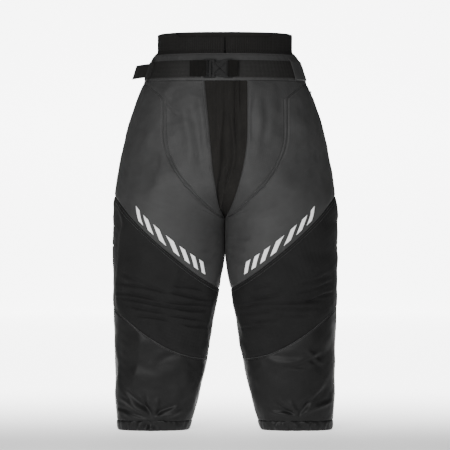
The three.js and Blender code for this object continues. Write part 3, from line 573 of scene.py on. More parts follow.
def stitches(path, length=3.2, gap=1.2, radius=0.38):
    """Thread dashes along a path: four-sided, thin at both ends. Gives points and faces."""
    ends = even_points(path, length + gap)
    if len(ends) < 3:
        return None
    starts, ways = ends[:-1], np.diff(ends, axis=0)
    ways /= np.maximum(np.linalg.norm(ways, axis=1, keepdims=True), 1e-6)
    out = away_from_leg(starts)
    aside = np.cross(ways, out)
    aside /= np.maximum(np.linalg.norm(aside, axis=1, keepdims=True), 1e-6)
    up = np.cross(aside, ways)
    rings = []
    for share, size in ((0.0, 0.25), (0.22, 1.0), (0.78, 1.0), (1.0, 0.25)):
        centre = starts + ways * (length * share) + out * (0.15 * size)
        for k in range(4):
            angle = math.pi / 2 * k
            rings.append(centre + radius * size * (aside * math.cos(angle) + up * math.sin(angle)))
    points = np.stack(rings, 1)
    quads = [[4 * r + k, 4 * r + (k + 1) % 4, 4 * r + 4 + (k + 1) % 4, 4 * r + 4 + k]
             for r in range(3) for k in range(4)]
    quads += [[3, 2, 1, 0], [12, 13, 14, 15]]
    faces = (np.array(quads)[None] + 16 * np.arange(len(starts))[:, None, None]).reshape(-1, 4)
    return points.reshape(-1, 3), faces


def joined(parts):
    """Several pieces' points and faces as one piece's."""
    points, faces, shift = [], [], 0
    for part in parts:
        if part is None:
            continue
        points.append(part[0])
        faces.append(part[1] + shift)
        shift += len(part[0])
    return np.concatenate(points), np.concatenate(faces)


# ---------- finishes ----------

def colour(grey, tint=(1.0, 1.0, 1.0)):
    """A linear colour from an sRGB grey of 0 to 255."""
    c = grey / 255
    linear = c / 12.92 if c <= 0.04045 else ((c + 0.055) / 1.055) ** 2.4
    return (linear * tint[0], linear * tint[1], linear * tint[2], 1.0)


def cloth_material(name, shade, *, tint=(1.0, 1.0, 1.0), rough=0.6, sheen=0.2, weave=0.0011, depth=0.25,
                   crumple=0.5, specular=0.4, patch=0.12, metallic=0.0, laid="UV"):
    """Woven or knitted cloth: a weave in relief, fine crumples, and an uneven shade."""
    material = bpy.data.materials.new(name)
    material.use_nodes = True
    nodes, links = material.node_tree.nodes, material.node_tree.links
    surface = nodes["Principled BSDF"]
    surface.inputs["Roughness"].default_value = rough
    surface.inputs["Metallic"].default_value = metallic
    surface.inputs["Specular IOR Level"].default_value = specular
    surface.inputs["Sheen Weight"].default_value = sheen
    surface.inputs["Sheen Roughness"].default_value = 0.5
    place = nodes.new("ShaderNodeTexCoord")
    source = place.outputs[laid]
    spots = nodes.new("ShaderNodeTexNoise")
    spots.inputs["Scale"].default_value = 22
    spots.inputs["Detail"].default_value = 5
    links.new(place.outputs["Object"], spots.inputs["Vector"])
    ramp = nodes.new("ShaderNodeValToRGB")
    base = colour(shade, tint)
    ramp.color_ramp.elements[0].position = 0.3
    ramp.color_ramp.elements[1].position = 0.7
    ramp.color_ramp.elements[0].color = tuple(v * (1 - patch) for v in base[:3]) + (1.0,)
    ramp.color_ramp.elements[1].color = tuple(v * (1 + patch) for v in base[:3]) + (1.0,)
    links.new(spots.outputs["Fac"], ramp.inputs["Fac"])
    links.new(ramp.outputs["Color"], surface.inputs["Base Color"])
    warp = nodes.new("ShaderNodeTexWave")
    warp.inputs["Scale"].default_value = 1 / (20 * weave)
    warp.bands_direction = "X"
    weft = nodes.new("ShaderNodeTexWave")
    weft.inputs["Scale"].default_value = warp.inputs["Scale"].default_value
    weft.bands_direction = "Y"
    for wave in (warp, weft):
        wave.inputs["Distortion"].default_value = 0.6
        wave.inputs["Detail"].default_value = 1.0
        links.new(source, wave.inputs["Vector"])
    both = nodes.new("ShaderNodeMath")
    both.operation = "ADD"
    links.new(warp.outputs["Fac"], both.inputs[0])
    links.new(weft.outputs["Fac"], both.inputs[1])
    fine = nodes.new("ShaderNodeBump")
    fine.inputs["Strength"].default_value = depth
    fine.inputs["Distance"].default_value = 0.0003
    links.new(both.outputs[0], fine.inputs["Height"])
    creases = nodes.new("ShaderNodeTexNoise")
    creases.inputs["Scale"].default_value = 70
    creases.inputs["Detail"].default_value = 6
    creases.inputs["Distortion"].default_value = 0.8
    links.new(place.outputs["Object"], creases.inputs["Vector"])
    crumples = nodes.new("ShaderNodeBump")
    crumples.inputs["Strength"].default_value = crumple
    crumples.inputs["Distance"].default_value = 0.0012
    links.new(creases.outputs["Fac"], crumples.inputs["Height"])
    links.new(fine.outputs["Normal"], crumples.inputs["Normal"])
    links.new(crumples.outputs["Normal"], surface.inputs["Normal"])
    return material


def hard_material(name, shade, *, tint=(1.0, 1.0, 1.0), rough=0.4, metallic=0.0, grain=0.1, specular=0.5):
    """Moulded plastic or metal: softened edges, a fine grain and faint wear."""
    material = bpy.data.materials.new(name)
    material.use_nodes = True
    nodes, links = material.node_tree.nodes, material.node_tree.links
    surface = nodes["Principled BSDF"]
    surface.inputs["Metallic"].default_value = metallic
    surface.inputs["Specular IOR Level"].default_value = specular
    place = nodes.new("ShaderNodeTexCoord")
    noise = nodes.new("ShaderNodeTexNoise")
    noise.inputs["Scale"].default_value = 260
    noise.inputs["Detail"].default_value = 4
    links.new(place.outputs["Object"], noise.inputs["Vector"])
    ramp = nodes.new("ShaderNodeValToRGB")
    base = colour(shade, tint)
    ramp.color_ramp.elements[0].color = tuple(v * 0.9 for v in base[:3]) + (1.0,)
    ramp.color_ramp.elements[1].color = tuple(v * 1.1 for v in base[:3]) + (1.0,)
    links.new(noise.outputs["Fac"], ramp.inputs["Fac"])
    links.new(ramp.outputs["Color"], surface.inputs["Base Color"])
    gloss = nodes.new("ShaderNodeMapRange")
    gloss.inputs["To Min"].default_value = rough * 0.8
    gloss.inputs["To Max"].default_value = rough * 1.2
    links.new(noise.outputs["Fac"], gloss.inputs["Value"])
    links.new(gloss.outputs["Result"], surface.inputs["Roughness"])
    soft = nodes.new("ShaderNodeBevel")
    soft.samples = 4
    soft.inputs["Radius"].default_value = 0.0012
    bump = nodes.new("ShaderNodeBump")
    bump.inputs["Strength"].default_value = grain
    bump.inputs["Distance"].default_value = 0.0002
    links.new(noise.outputs["Fac"], bump.inputs["Height"])
    links.new(soft.outputs["Normal"], bump.inputs["Normal"])
    links.new(bump.outputs["Normal"], surface.inputs["Normal"])
    return material


_finishes = {}


def finish(slot):
    """The material of a slot, made once."""
    if slot not in _finishes:
        _finishes[slot] = FINISHES[slot]()
    return _finishes[slot]


FINISHES = {
    "shell_satin": lambda: cloth_material(
        "Shell satin", 49, rough=0.55, sheen=0.03, weave=0.0009, depth=0.12, crumple=0.1, specular=0.16),
    # the shell satin again, painted darker: painted shade for the dimmer light on the lower legs
    "lower_satin_painted_shade": lambda: cloth_material(
        "Lower leg satin painted shade", 16, rough=0.5, sheen=0.03, weave=0.0009, depth=0.12, crumple=0.15,
        specular=0.18),
    "knee_cloth": lambda: cloth_material(
        "Knee cloth", 24, rough=0.75, sheen=0.02, weave=0.0016, depth=0.5, crumple=0.25, specular=0.12),
    "stretch_cloth": lambda: cloth_material(
        "Stretch cloth", 27, tint=(1.06, 1.0, 0.92), rough=0.8, sheen=0.03, weave=0.0012, depth=0.3,
        crumple=0.2, specular=0.1),
    "lining_mesh": lambda: cloth_material(
        "Lining mesh", 28, rough=0.9, sheen=0.08, weave=0.0024, depth=0.8, crumple=0.2, specular=0.2),
    "webbing": lambda: cloth_material(
        "Webbing", 15, tint=(1.06, 1.0, 0.9), rough=0.7, sheen=0.03, weave=0.0018, depth=0.6, crumple=0.1,
        specular=0.3),
    "webbing_fold": lambda: cloth_material(
        "Folded webbing", 13, tint=(1.06, 1.0, 0.9), rough=0.8, sheen=0.02, weave=0.0018, depth=0.6,
        crumple=0.3, specular=0.1, laid="Object"),
    "ribbed_elastic": lambda: cloth_material(
        "Ribbed elastic", 15, tint=(1.08, 1.0, 0.92), rough=0.8, sheen=0.02, weave=0.0012, depth=0.4,
        crumple=0.1, specular=0.2),
    "hook_tape": lambda: cloth_material(
        "Hook tape", 14, rough=1.0, sheen=0.2, weave=0.0015, depth=1.0, crumple=0.3, specular=0.1),
    "buckle_plastic": lambda: hard_material("Buckle plastic", 16, rough=0.5, specular=0.12),
    "snap_metal": lambda: hard_material(
        "Snap metal", 176, tint=(0.94, 1.0, 1.06), rough=0.3, metallic=0.9, grain=0.05),
    "thread": lambda: cloth_material(
        "Thread", 52, rough=0.6, sheen=0.1, weave=0.0005, depth=0.2, crumple=0.1),
    "print": lambda: cloth_material(
        "Printed bars", 238, rough=0.6, sheen=0.05, weave=0.0009, depth=0.15, crumple=0.2, patch=0.04),
}

# ---------- how each piece is placed: baked where it stands, or hung on the seat ---


def across_hip(made, side):
    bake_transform(made)


def across_knee(made, side):
    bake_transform(made)


def on_seat(made, _side):
    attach(made, "seat")


# ---------- the pieces ----------

STITCHED = []  # the lines to sew: side, what places them, the line, and whether it is piped
PIPING = 0.8  # a line this far from its edge is a corded piping and not a row of stitches


def shell_panel(context, name, side, mapping, slot, place, replaced, *, padded=None, stitch=(), **how):
    """One sewn panel: built, put in place, and noted for its stitching."""
    word = WORDS[side]
    material = finish(how.pop("finish", slot))
    full = f"{name}_{word}"
    settings = context.scene.trousers_cloth
    how.setdefault("thickness", settings.thickness / MM)
    how.setdefault("growth", settings.spare_cloth)
    how.setdefault("fold_share", settings.fold_strength)
    how.setdefault("depth", settings.seam_depth / MM)
    made, outer, flat, edges = sewn_panel(full, side, mapping, material, slot, **how)
    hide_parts(*(f"{node}_{word}" for node in replaced))
    place(made, side)
    for key, distances in stitch:
        for distance in distances:
            STITCHED.append((side, place, edge_line(outer, edges, key, distance), distance == PIPING))
    return made


class TROUSERS_OT_leg_fronts(bpy.types.Operator):
    """Build the padded thigh fronts, knees and shins"""

    bl_idname = "trousers.leg_fronts"
    bl_label = "Leg fronts"

    def execute(self, context):
        for side in WORDS:
            shell_panel(
                context, "thigh_front", side, map_thigh_front, "shell_satin", across_hip,
                ("thigh_front_panel", "thigh_pad", "hip_pad"), padded=0.55, crown=2.2, calm=14, limit=1.6,
                grooves={"bottom": (4.2,), "right": (4.2,)}, corded=("left",),
                stitch=(("left", (7.0,)), ("bottom", (4.2,))))
            shell_panel(
                context, "knee_front", side, map_knee, "knee_cloth", across_knee,
                ("knee_panel", "knee_pad"), padded=0.6, crown=2.4, growth=0.02, spacing=3.0,
                grooves={"top": (4.2, 12.0), "right": (4.2,), "bottom": (4.2,)},
                stitch=(("top", (4.2, 12.0)),))
            # the shins wear the shell satin painted darker, a painted shade
            shell_panel(
                context, "shin_front", side, map_shin, "shell_satin", across_knee,
                ("shin_panel", "shin_pad"), padded=0.5, crown=1.6, growth=0.006, finish="lower_satin_painted_shade",
                grooves={"top": (4.2,), "right": (4.2,)}, stitch=(("top", (PIPING, 4.2)),))
        return {"FINISHED"}


class TROUSERS_OT_leg_backs(bpy.types.Operator):
    """Build the backs of the legs"""

    bl_idname = "trousers.leg_backs"
    bl_label = "Leg backs"

    def execute(self, context):
        for side in WORDS:
            shell_panel(
                context, "thigh_back", side, behind(knee_back_top, GUSSET_LOW), "shell_satin", across_hip,
                ("thigh_back_panel",), growth=0.02, grooves={"top": (4.2,), "bottom": (4.2,)},
                stitch=(("top", (4.2,)), ("bottom", (4.2,))))
            shell_panel(
                context, "knee_back", side, behind(knee_back_bottom, knee_back_top), "stretch_cloth",
                across_knee, ("knee_back_panel",), growth=0.04, pressure=0.5)
            # the calves wear the shell satin painted darker, a painted shade
            shell_panel(
                context, "calf", side, behind(HEM_TOP - 3, knee_back_bottom), "shell_satin", across_knee,
                ("calf_panel",), growth=0.02, finish="lower_satin_painted_shade", grooves={"top": (4.2,)},
                stitch=(("top", (4.2,)),))
        return {"FINISHED"}


class TROUSERS_OT_seat(bpy.types.Operator):
    """Build the belly panels, the seat, its stretch gusset and the open fly"""

    bl_idname = "trousers.seat"
    bl_label = "Seat and fly"

    def execute(self, context):
        for side in WORDS:
            shell_panel(
                context, "belly", side, map_belly(side), "shell_satin", on_seat, ("front_panel",),
                crown=0.8, calm=10, limit=1.6,
                grooves={"left": (4.2,)}, corded=("right",),
                stitch=(("left", (4.2,)), ("right", (7.0,))))
            shell_panel(
                context, "gusset_cloth", side, behind(GUSSET_LOW, GUSSET_TOP), "stretch_cloth", across_hip,
                ("seat_gusset",), growth=0.02, pressure=0.5)
            back = shell_panel(
                context, "seat_back", side, behind(GUSSET_TOP, PANEL_TOP + 3), "shell_satin", across_hip,
                ("seat_panel",), padded=0.5, crown=2.0, grooves={"bottom": (4.2,), "left": (4.2,)},
                stitch=(("bottom", (4.2,)),))
            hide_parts("tail_pad")
        self.fly()
        return {"FINISHED"}

    def fly(self):
        """Stretch cloth behind the open fly, with a deep fold left of its centre."""
        heights = np.linspace(FLY_BOTTOM - 6, PANEL_TOP + 3, 110)[:, None]
        share = np.linspace(0, 1, 130)[None, :]
        left, right = -fly_x(heights, -1) - 7, fly_x(heights, 1) + 7
        x = lerp(left, right, share)
        up = np.clip((heights - FLY_BOTTOM) / (PANEL_TOP - FLY_BOTTOM), 0, 1)
        valley_x = lerp(-15, 4, smoothstep(heights, 594, 745))
        reach = lerp(3.5, 15, smoothstep(heights, 585, 745)) * (1 - 0.5 * smoothstep(heights, 760, 860))
        valley = np.exp(-np.abs((x - valley_x) / reach) ** 4)
        crest_x = valley_x + 1.5 * reach
        crest = np.exp(-(((x - crest_x) / 6) ** 2))
        second = np.exp(-(((x - 29) / 4) ** 2)) * smoothstep(heights, 750, 810)
        second += np.exp(-(((x - 43) / 4) ** 2)) * smoothstep(heights, 845, 890)
        third = np.exp(-(((x + 20) / 5) ** 2)) * smoothstep(heights, 740, 800)
        tucked = np.maximum(1 - smoothstep(x - left, 4, 13), 1 - smoothstep(right - x, 4, 13))
        deep = smoothstep(up, 0.02, 0.1) * (1 - 0.85 * smoothstep(heights, 760, 880))
        out = -4.6 - 9.6 * valley * deep + (3.6 * crest * deep - 4.5 * second - 2.0 * third) * (1 - tucked)
        out = out + 0.5 * ripples(x * 2.5, heights, 5, 40, 110) * (1 - tucked)
        around = np.vectorize(lambda v, h: float(turn_at(abs(v), np.array(h))) / 4 * (1 if v >= 0 else -1))(
            x, heights + 0 * x)
        outer = body_skin(around, heights, out)
        inner = body_skin(around, heights, out - 1.8)
        points, faces = closed_sheet(outer, inner)
        made = make_object("fly_cloth", points, faces, finish("stretch_cloth"))
        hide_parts("fly_gusset")
        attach(made, "seat")


def lining(name, side, low, high, replaced, place, inset=16.5):
    """A plain tube of lining mesh inside one leg."""
    rows = max(12, int((high - low) / 8))
    heights = np.linspace(low, high, rows)[:, None]
    turns = np.linspace(0, 2, 120, endpoint=False)[None, :]
    wave = 0.5 * ripples(turns * 300, heights, 61 + side, 40, 120)
    outer = skin(side, turns, heights, -inset + wave)
    inner = skin(side, turns, heights, -inset - 1.2 + wave)
    points, faces = closed_sheet(outer, inner, wraps=True)
    made = make_object(name, points, faces, finish("lining_mesh"))
    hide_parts(*replaced)
    place(made, side)


class TROUSERS_OT_linings(bpy.types.Operator):
    """Build the linings of the legs and the seat"""

    bl_idname = "trousers.linings"
    bl_label = "Linings"

    def execute(self, context):
        for side, word in WORDS.items():
            lining(f"thigh_lining_cloth_{word}", side, 381, 712, (f"thigh_lining_{word}",), across_hip)
            lining(f"shin_lining_cloth_{word}", side, HEM_TOP - 8, 385, (f"shin_lining_{word}",),
                   across_knee)
        heights = np.linspace(705, BAND_LOW, 50)[:, None]
        around = np.linspace(0, 1, 240, endpoint=False)[None, :]
        wave = 0.6 * ripples(around * 1100, heights, 71, 50, 120)
        inset = lerp(17.5, 7.5, smoothstep(heights, 900, WAIST_TOP))
        outer = body_skin(around, heights, -inset + wave)
        inner = body_skin(around, heights, -inset - 1.2 + wave)
        points, faces = closed_sheet(outer, inner, wraps=True)
        made = make_object("seat_lining_cloth", points, faces, finish("lining_mesh"))
        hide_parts("seat_lining")
        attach(made, "seat")
        return {"FINISHED"}


def band(name, start, end, levels, out, thickness, slot, columns, replaced=(), body="seat", wraps=False,
         top=None):
    """A strip round the body. out(around, height) is how far its outer face stands out."""
    around = np.linspace(start, end, columns, endpoint=not wraps)[None, :]
    heights = np.asarray(levels, float)[:, None]
    if top is not None:
        share = (heights - heights[0]) / (heights[-1] - heights[0])
        heights = lerp(heights[0], top(around), share)
    face = out(around, heights) + 0 * around * heights
    outer = body_skin(around, heights, face)
    inner = body_skin(around, heights, face - thickness)
    points, faces = closed_sheet(outer, inner, wraps=wraps)
    along = np.broadcast_to(around * 1200, face.shape)
    flat = np.stack([along, np.broadcast_to(heights, face.shape)], -1).reshape(-1, 2)
    made = make_object(name, points, faces, finish(slot), np.concatenate([flat, flat]))
    if replaced:
        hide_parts(*replaced)
    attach(made, body)
    return made, outer


def soft_edge(heights, low, high, depth, reach=2.0):
    """Rounds a strip's outer face off towards its two edges."""
    near = np.minimum(heights - low, high - heights)
    return -depth * np.exp(-((near / reach) ** 2))


BELT_LOW = BELT_HEIGHT - 23
BELT_HIGH = BELT_HEIGHT + 23


def dense_levels(low, high, step):
    near = np.array([0, 0.5, 1.2, 2.2, 3.4])
    return np.concatenate([low + near, np.linspace(low + 5, high - 5, max(2, int((high - low) / step))),
                           high - near[::-1]])


class TROUSERS_OT_waist(bpy.types.Operator):
    """Build the gathered waistband, the belt and its loops"""

    bl_idname = "trousers.waist"
    bl_label = "Waistband and belt"

    def execute(self, context):
        self.waistband()
        self.webbing()
        self.loops()
        self.tail()
        return {"FINISHED"}

    def waistband(self):
        def out(around, heights):
            gather = ripples(around * 1250, heights * 0.25, 3, 9, 26)
            bulge = 0.6 * np.sin(math.pi * np.clip((heights - WAIST) / 70, 0, 1))
            return bulge + 0.2 * gather + soft_edge(heights, WAIST, WAIST_TOP, 1.4)
        made, outer = band("waistband_cloth", 0, 1, dense_levels(WAIST - 1, WAIST_TOP + 1.5, 2.4), out,
                           2.6, "shell_satin", 620, ("waistband", "waist_elastic"), wraps=True)

    def webbing(self):
        start = around_at(BUCKLE_RIGHT + 4, BELT_HEIGHT)
        end = 1 + around_at(BUCKLE_LEFT - 6, BELT_HEIGHT)

        def out(around, heights):
            rib = 0.22 * np.sin(2 * math.pi * (around * 1200 + (heights - BELT_LOW) * 0.8) / 4.6)
            sway = 0.5 * ripples(around * 1200, heights * 0.4, 12, 90, 240)
            return 2.6 + rib + sway + soft_edge(heights, BELT_LOW, BELT_HIGH, 0.7, 1.4)
        band("belt_cloth", start, end, dense_levels(BELT_LOW, BELT_HIGH, 1.8), out, 1.8, "webbing", 1000,
             ("belt_webbing",))

    def loops(self):
        low, high = BELT_LOW - 7, BELT_HIGH + 7

        def over_belt(around, heights):
            rise = smoothstep(heights, low + 1, low + 7) * (1 - smoothstep(heights, high - 7, high - 1))
            weave = 0.12 * np.sin(2 * math.pi * heights / 2.2)
            return 2.2 + 3.6 * rise + weave
        for name, middle, half in (
            ("belt_loop_right", 0.8, 0.011), ("belt_loop_back_right", 0.58, 0.006),
            ("belt_loop_back_left", 0.42, 0.006), ("belt_tunnel_left", 0.19, 0.034),
        ):
            slot = "shell_satin" if name == "belt_tunnel_left" else "webbing"
            band(f"{name}_cloth", middle - half, middle + half, dense_levels(low, high, 1.6), over_belt,
                 1.6, slot, 26, (name,))

    def tail(self):
        """The free end of the belt, under the loop and then standing out past it."""
        low, high = BELT_LOW + 4, BELT_HIGH - 4
        heights = dense_levels(low, high, 2.2)[:, None]
        around = np.linspace(0.822, 0.79, 30)[None, :]
        held = body_skin(around, heights, 5.2 + 0 * heights)
        last = held[:, -1]
        turns = np.linspace(0, 1, 36)[1:]
        away = [last + np.array([-37 * t, 26 * math.sin(t * 1.35), -3.5 * t * t]) for t in turns]
        outer = np.concatenate([held, np.stack(away, 1)], 1)
        along = np.gradient(outer, axis=1)
        aside = np.cross(along, np.array([0, 0, 1.0]))
        aside /= np.linalg.norm(aside, axis=-1, keepdims=True)
        centre = outer.mean(axis=(0, 1)) * np.array([0, 0, 1])
        sign = np.sign((aside * (outer - centre)).sum(-1).mean())
        j = np.arange(outer.shape[1])[None, :, None]
        weave = 0.2 * np.sin(2 * math.pi * (j * 1.6 + heights[:, :, None] * 0.8) / 4.6)
        outer = outer + sign * aside * weave
        inner = outer - sign * aside * 1.8
        points, faces = closed_sheet(outer, inner)
        made = make_object("belt_tail_cloth", points, faces, finish("webbing"))
        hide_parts("belt_tail")
        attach(made, "seat")


BUCKLE_LEFT = -57
BUCKLE_RIGHT = 17


class TROUSERS_OT_kidney_band(bpy.types.Operator):
    """Build the ribbed elastic kidney band that closes in front with hook tape"""

    bl_idname = "trousers.kidney_band"
    bl_label = "Kidney band"

    def execute(self, context):
        levels = dense_levels(BAND_LOW, BAND_TOP, 3.0)

        def out(around, heights):
            rib = 0.75 * np.abs(np.sin(math.pi * around * 1010 / 4.8))
            sway = 0.5 * ripples(around * 1010, heights * 0.6, 23, 70, 190)
            return rib - 0.6 + sway + soft_edge(heights, BAND_LOW, BAND_TOP, 0.8)

        def top(around):
            """The wings dip across the front, where the back of the band shows over them."""
            aside = np.abs((around + 0.5) % 1 - 0.5)
            dips, ends = around_at(122, BAND_LOW), around_at(146, BAND_LOW)
            return BAND_TOP - 12 * (1 - smoothstep(aside, dips, ends))
        tip = around_at(2, BAND_LOW)
        band("kidney_band_back_cloth", 0.254, 0.746, levels, out, 3.2, "ribbed_elastic", 620,
             ("kidney_band_back",))
        band("kidney_wing_cloth_left", tip, 0.246, levels, out, 3.2, "ribbed_elastic", 330,
             ("kidney_wing_left",), "wing_left", top=top)
        band("kidney_wing_cloth_right", 0.754, 1 - tip, levels, out, 3.2, "ribbed_elastic", 330,
             ("kidney_wing_right",), "wing_right", top=top)

        def inside(around, heights):
            return -7.2 + 0.3 * ripples(around * 900, heights, 43, 60, 150)
        made, outer = band("inner_band_cloth", 0, 1, dense_levels(WAIST_TOP + 12, BAND_TOP + 2, 3.4),
                           inside, 2.4, "stretch_cloth", 300, ("inner_band",), wraps=True)

        def hooks(around, heights):
            return -3.8 + 0.18 * np.sin(around * 5000) * np.sin(heights * 3.1)

        def loops(around, heights):
            return -5.4 + 0.15 * ripples(around * 1000, heights, 91, 3, 6)
        reach = around_at(46, BAND_LOW)
        patch = np.linspace(BAND_LOW + 10, BAND_TOP - 16, 30)
        band("hook_tape_left", tip, reach, patch, hooks, 1.2, "hook_tape", 40, ("hook_patch_left",),
             "wing_left")
        band("hook_tape_right", 1 - reach, 1 - tip, patch, hooks, 1.2, "hook_tape", 40,
             ("hook_patch_right",), "wing_right")
        band("loop_tape", -reach, reach, patch, loops, 0.9, "hook_tape", 80, ("loop_patch",))
        return {"FINISHED"}


class TROUSERS_OT_hems(bpy.types.Operator):
    """Build the gathered hems"""

    bl_idname = "trousers.hems"
    bl_label = "Hems"

    def execute(self, context):
        for side, word in WORDS.items():
            heights = dense_levels(0, HEM_TOP - 1, 1.8)[:, None]
            turns = np.linspace(0, 2, 460, endpoint=False)[None, :]
            around = turns * 300
            gather = ripples(around, heights * 0.5, 81 + side, 11, 26)
            puff = 1.6 * np.sin(math.pi * np.clip(heights / HEM_TOP, 0, 1))
            middle = np.exp(-(((turns - 0.5) / 0.16) ** 2))
            out = puff + (0.35 + 1.6 * middle) * gather + soft_edge(heights, 0, HEM_TOP - 1, 1.6) - 0.6
            outer = skin(side, turns, heights, out)
            inner = skin(side, turns, heights, out - 3.0)
            points, faces = closed_sheet(outer, inner, wraps=True)
            flat = np.stack(np.broadcast_arrays(around, heights), -1).reshape(-1, 2)
            # the hems wear the shell satin painted darker, a painted shade
            made = make_object(f"hem_cloth_{word}", points, faces, finish("lower_satin_painted_shade"),
                               np.concatenate([flat, flat]))
            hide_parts(f"hem_band_{word}", f"hem_elastic_{word}")
            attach(made, f"shin_{word}")
        return {"FINISHED"}


class TROUSERS_OT_stitching(bpy.types.Operator):
    """Sew the topstitching and the piping over the panels"""

    bl_idname = "trousers.stitching"
    bl_label = "Stitching and piping"

    def execute(self, context):
        settings = context.scene.trousers_cloth
        groups = {}
        for side, place, line, piped in STITCHED:
            if piped:
                made = stitches(line + away_from_leg(line) * 1.4, 4.0, 0.0, 0.9)
            else:
                made = stitches(line, settings.stitch_length / MM)
            groups.setdefault((side, place.__name__), (place, []))[1].append(made)
        for (side, kind), (place, parts) in groups.items():
            points, faces = joined(parts)
            made = make_object(f"topstitching_{kind}_{WORDS[side]}", points, faces, finish("thread"))
            place(made, side)
        return {"FINISHED"}


BARS = 7
BAR_LOW, BAR_HIGH = 14, 42  # how far over the seam a bar starts and ends
BARS_ALONG_SEAM = (0.27, 0.62)  # the shares of the knee seam between which the bars stand


class TROUSERS_OT_prints(bpy.types.Operator):
    """Print plain slanted bars above the knee seams"""

    bl_idname = "trousers.prints"
    bl_label = "Printed bars"

    def execute(self, context):
        for side, word in WORDS.items():
            panel = bpy.data.objects[f"thigh_front_{word}"]
            tree = self.surface(panel)
            parts = []
            for share in np.linspace(*BARS_ALONG_SEAM, BARS):
                part = self.bar(side, share, tree)
                if part is not None:
                    parts.append(part)
            if not parts:
                raise RuntimeError(f"no printed bar could be laid on thigh_front_{word}")
            points, faces = joined(parts)
            made = make_object(f"printed_bars_{word}", points, faces, finish("print"))
            across_hip(made, side)
        return {"FINISHED"}

    def surface(self, panel):
        mesh = panel.data
        return BVHTree.FromPolygons([v.co for v in mesh.vertices], [p.vertices for p in mesh.polygons])

    def bar(self, side, share, tree):
        """One bar: a thin skin of ink that follows the cloth."""
        across_bar, up_bar = np.meshgrid(np.linspace(0, 1, 7), np.linspace(0, 1, 12))
        place = share + 0.03 * across_bar + 0.03 * up_bar
        height = knee_seam(place) + lerp(BAR_LOW, BAR_HIGH, up_bar)
        turn = turn_at_share(place, height)
        base, out = skin(side, turn, height), skin(side, turn, height, 1.0)
        way = out - base
        way /= np.linalg.norm(way, axis=-1, keepdims=True)
        found = np.zeros(base.shape)
        lift = np.array([0, 0, BELT_HEIGHT])
        for index in np.ndindex(base.shape[:2]):
            origin = Vector((base[index] + way[index] * 25 - lift) * MM)
            hit = tree.ray_cast(origin, Vector(-way[index]), 0.06)[0]
            if hit is None:
                return None
            found[index] = np.array(hit) / MM + lift
        return closed_sheet(found + way * 0.35, found - way * 0.3)


# x and height, from the belt's middle, of the two ends of each rib on the buckle
BUCKLE_RIBS = ((-29, -14, 0, 14), (-29, 14, 0, -14), (4, -19, 4, 19), (-34, -17, -34, 17))


class TROUSERS_OT_hardware(bpy.types.Operator):
    """Finish the buckle, its prongs, the belt folds and the hip snap"""

    bl_idname = "trousers.hardware"
    bl_label = "Buckle and snap"

    def execute(self, context):
        finishes = {
            "buckle_female": "buckle_plastic", "buckle_male": "buckle_plastic",
            "prong_upper": "buckle_plastic", "prong_lower": "buckle_plastic",
            "belt_fold_fixed": "webbing_fold", "belt_fold_sliding": "webbing_fold",
            "hip_snap": "snap_metal",
        }
        for node, slot in finishes.items():
            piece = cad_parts[node]
            piece.data.materials.clear()
            piece.data.materials.append(finish(slot))
        self.ribs()
        return {"FINISHED"}

    def ribs(self):
        """Two crossed ribs and a rib at each end, moulded on the front of the buckle's sleeve."""
        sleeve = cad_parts["buckle_female"]
        corners = np.array([sleeve.matrix_world @ v.co for v in sleeve.data.vertices])
        front = corners[:, 1].min()
        parts = []
        for x0, z0, x1, z1 in BUCKLE_RIBS:
            along = np.array([x1 - x0, 0, z1 - z0], float)
            aside = np.cross(along / np.linalg.norm(along), [0, 1, 0]) * 1.5
            ends = np.array([[x0, 0, z0], [x1, 0, z1]], float)
            rows = [ends + aside * way for way in (-1, -0.6, 0.6, 1)]
            top = np.stack(rows, 0) * MM
            base = top.copy()
            top[..., 1] = front + np.array([-0.0002, -0.0012, -0.0012, -0.0002])[:, None]
            base[..., 1] = front + 0.0003
            parts.append(closed_sheet(top / MM, base / MM))
        points, faces = joined(parts)
        made = make_object("buckle_ribs", points + np.array([0, 0, BELT_HEIGHT]), faces,
                           finish("buckle_plastic"), smooth=False)
        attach(made, "seat")


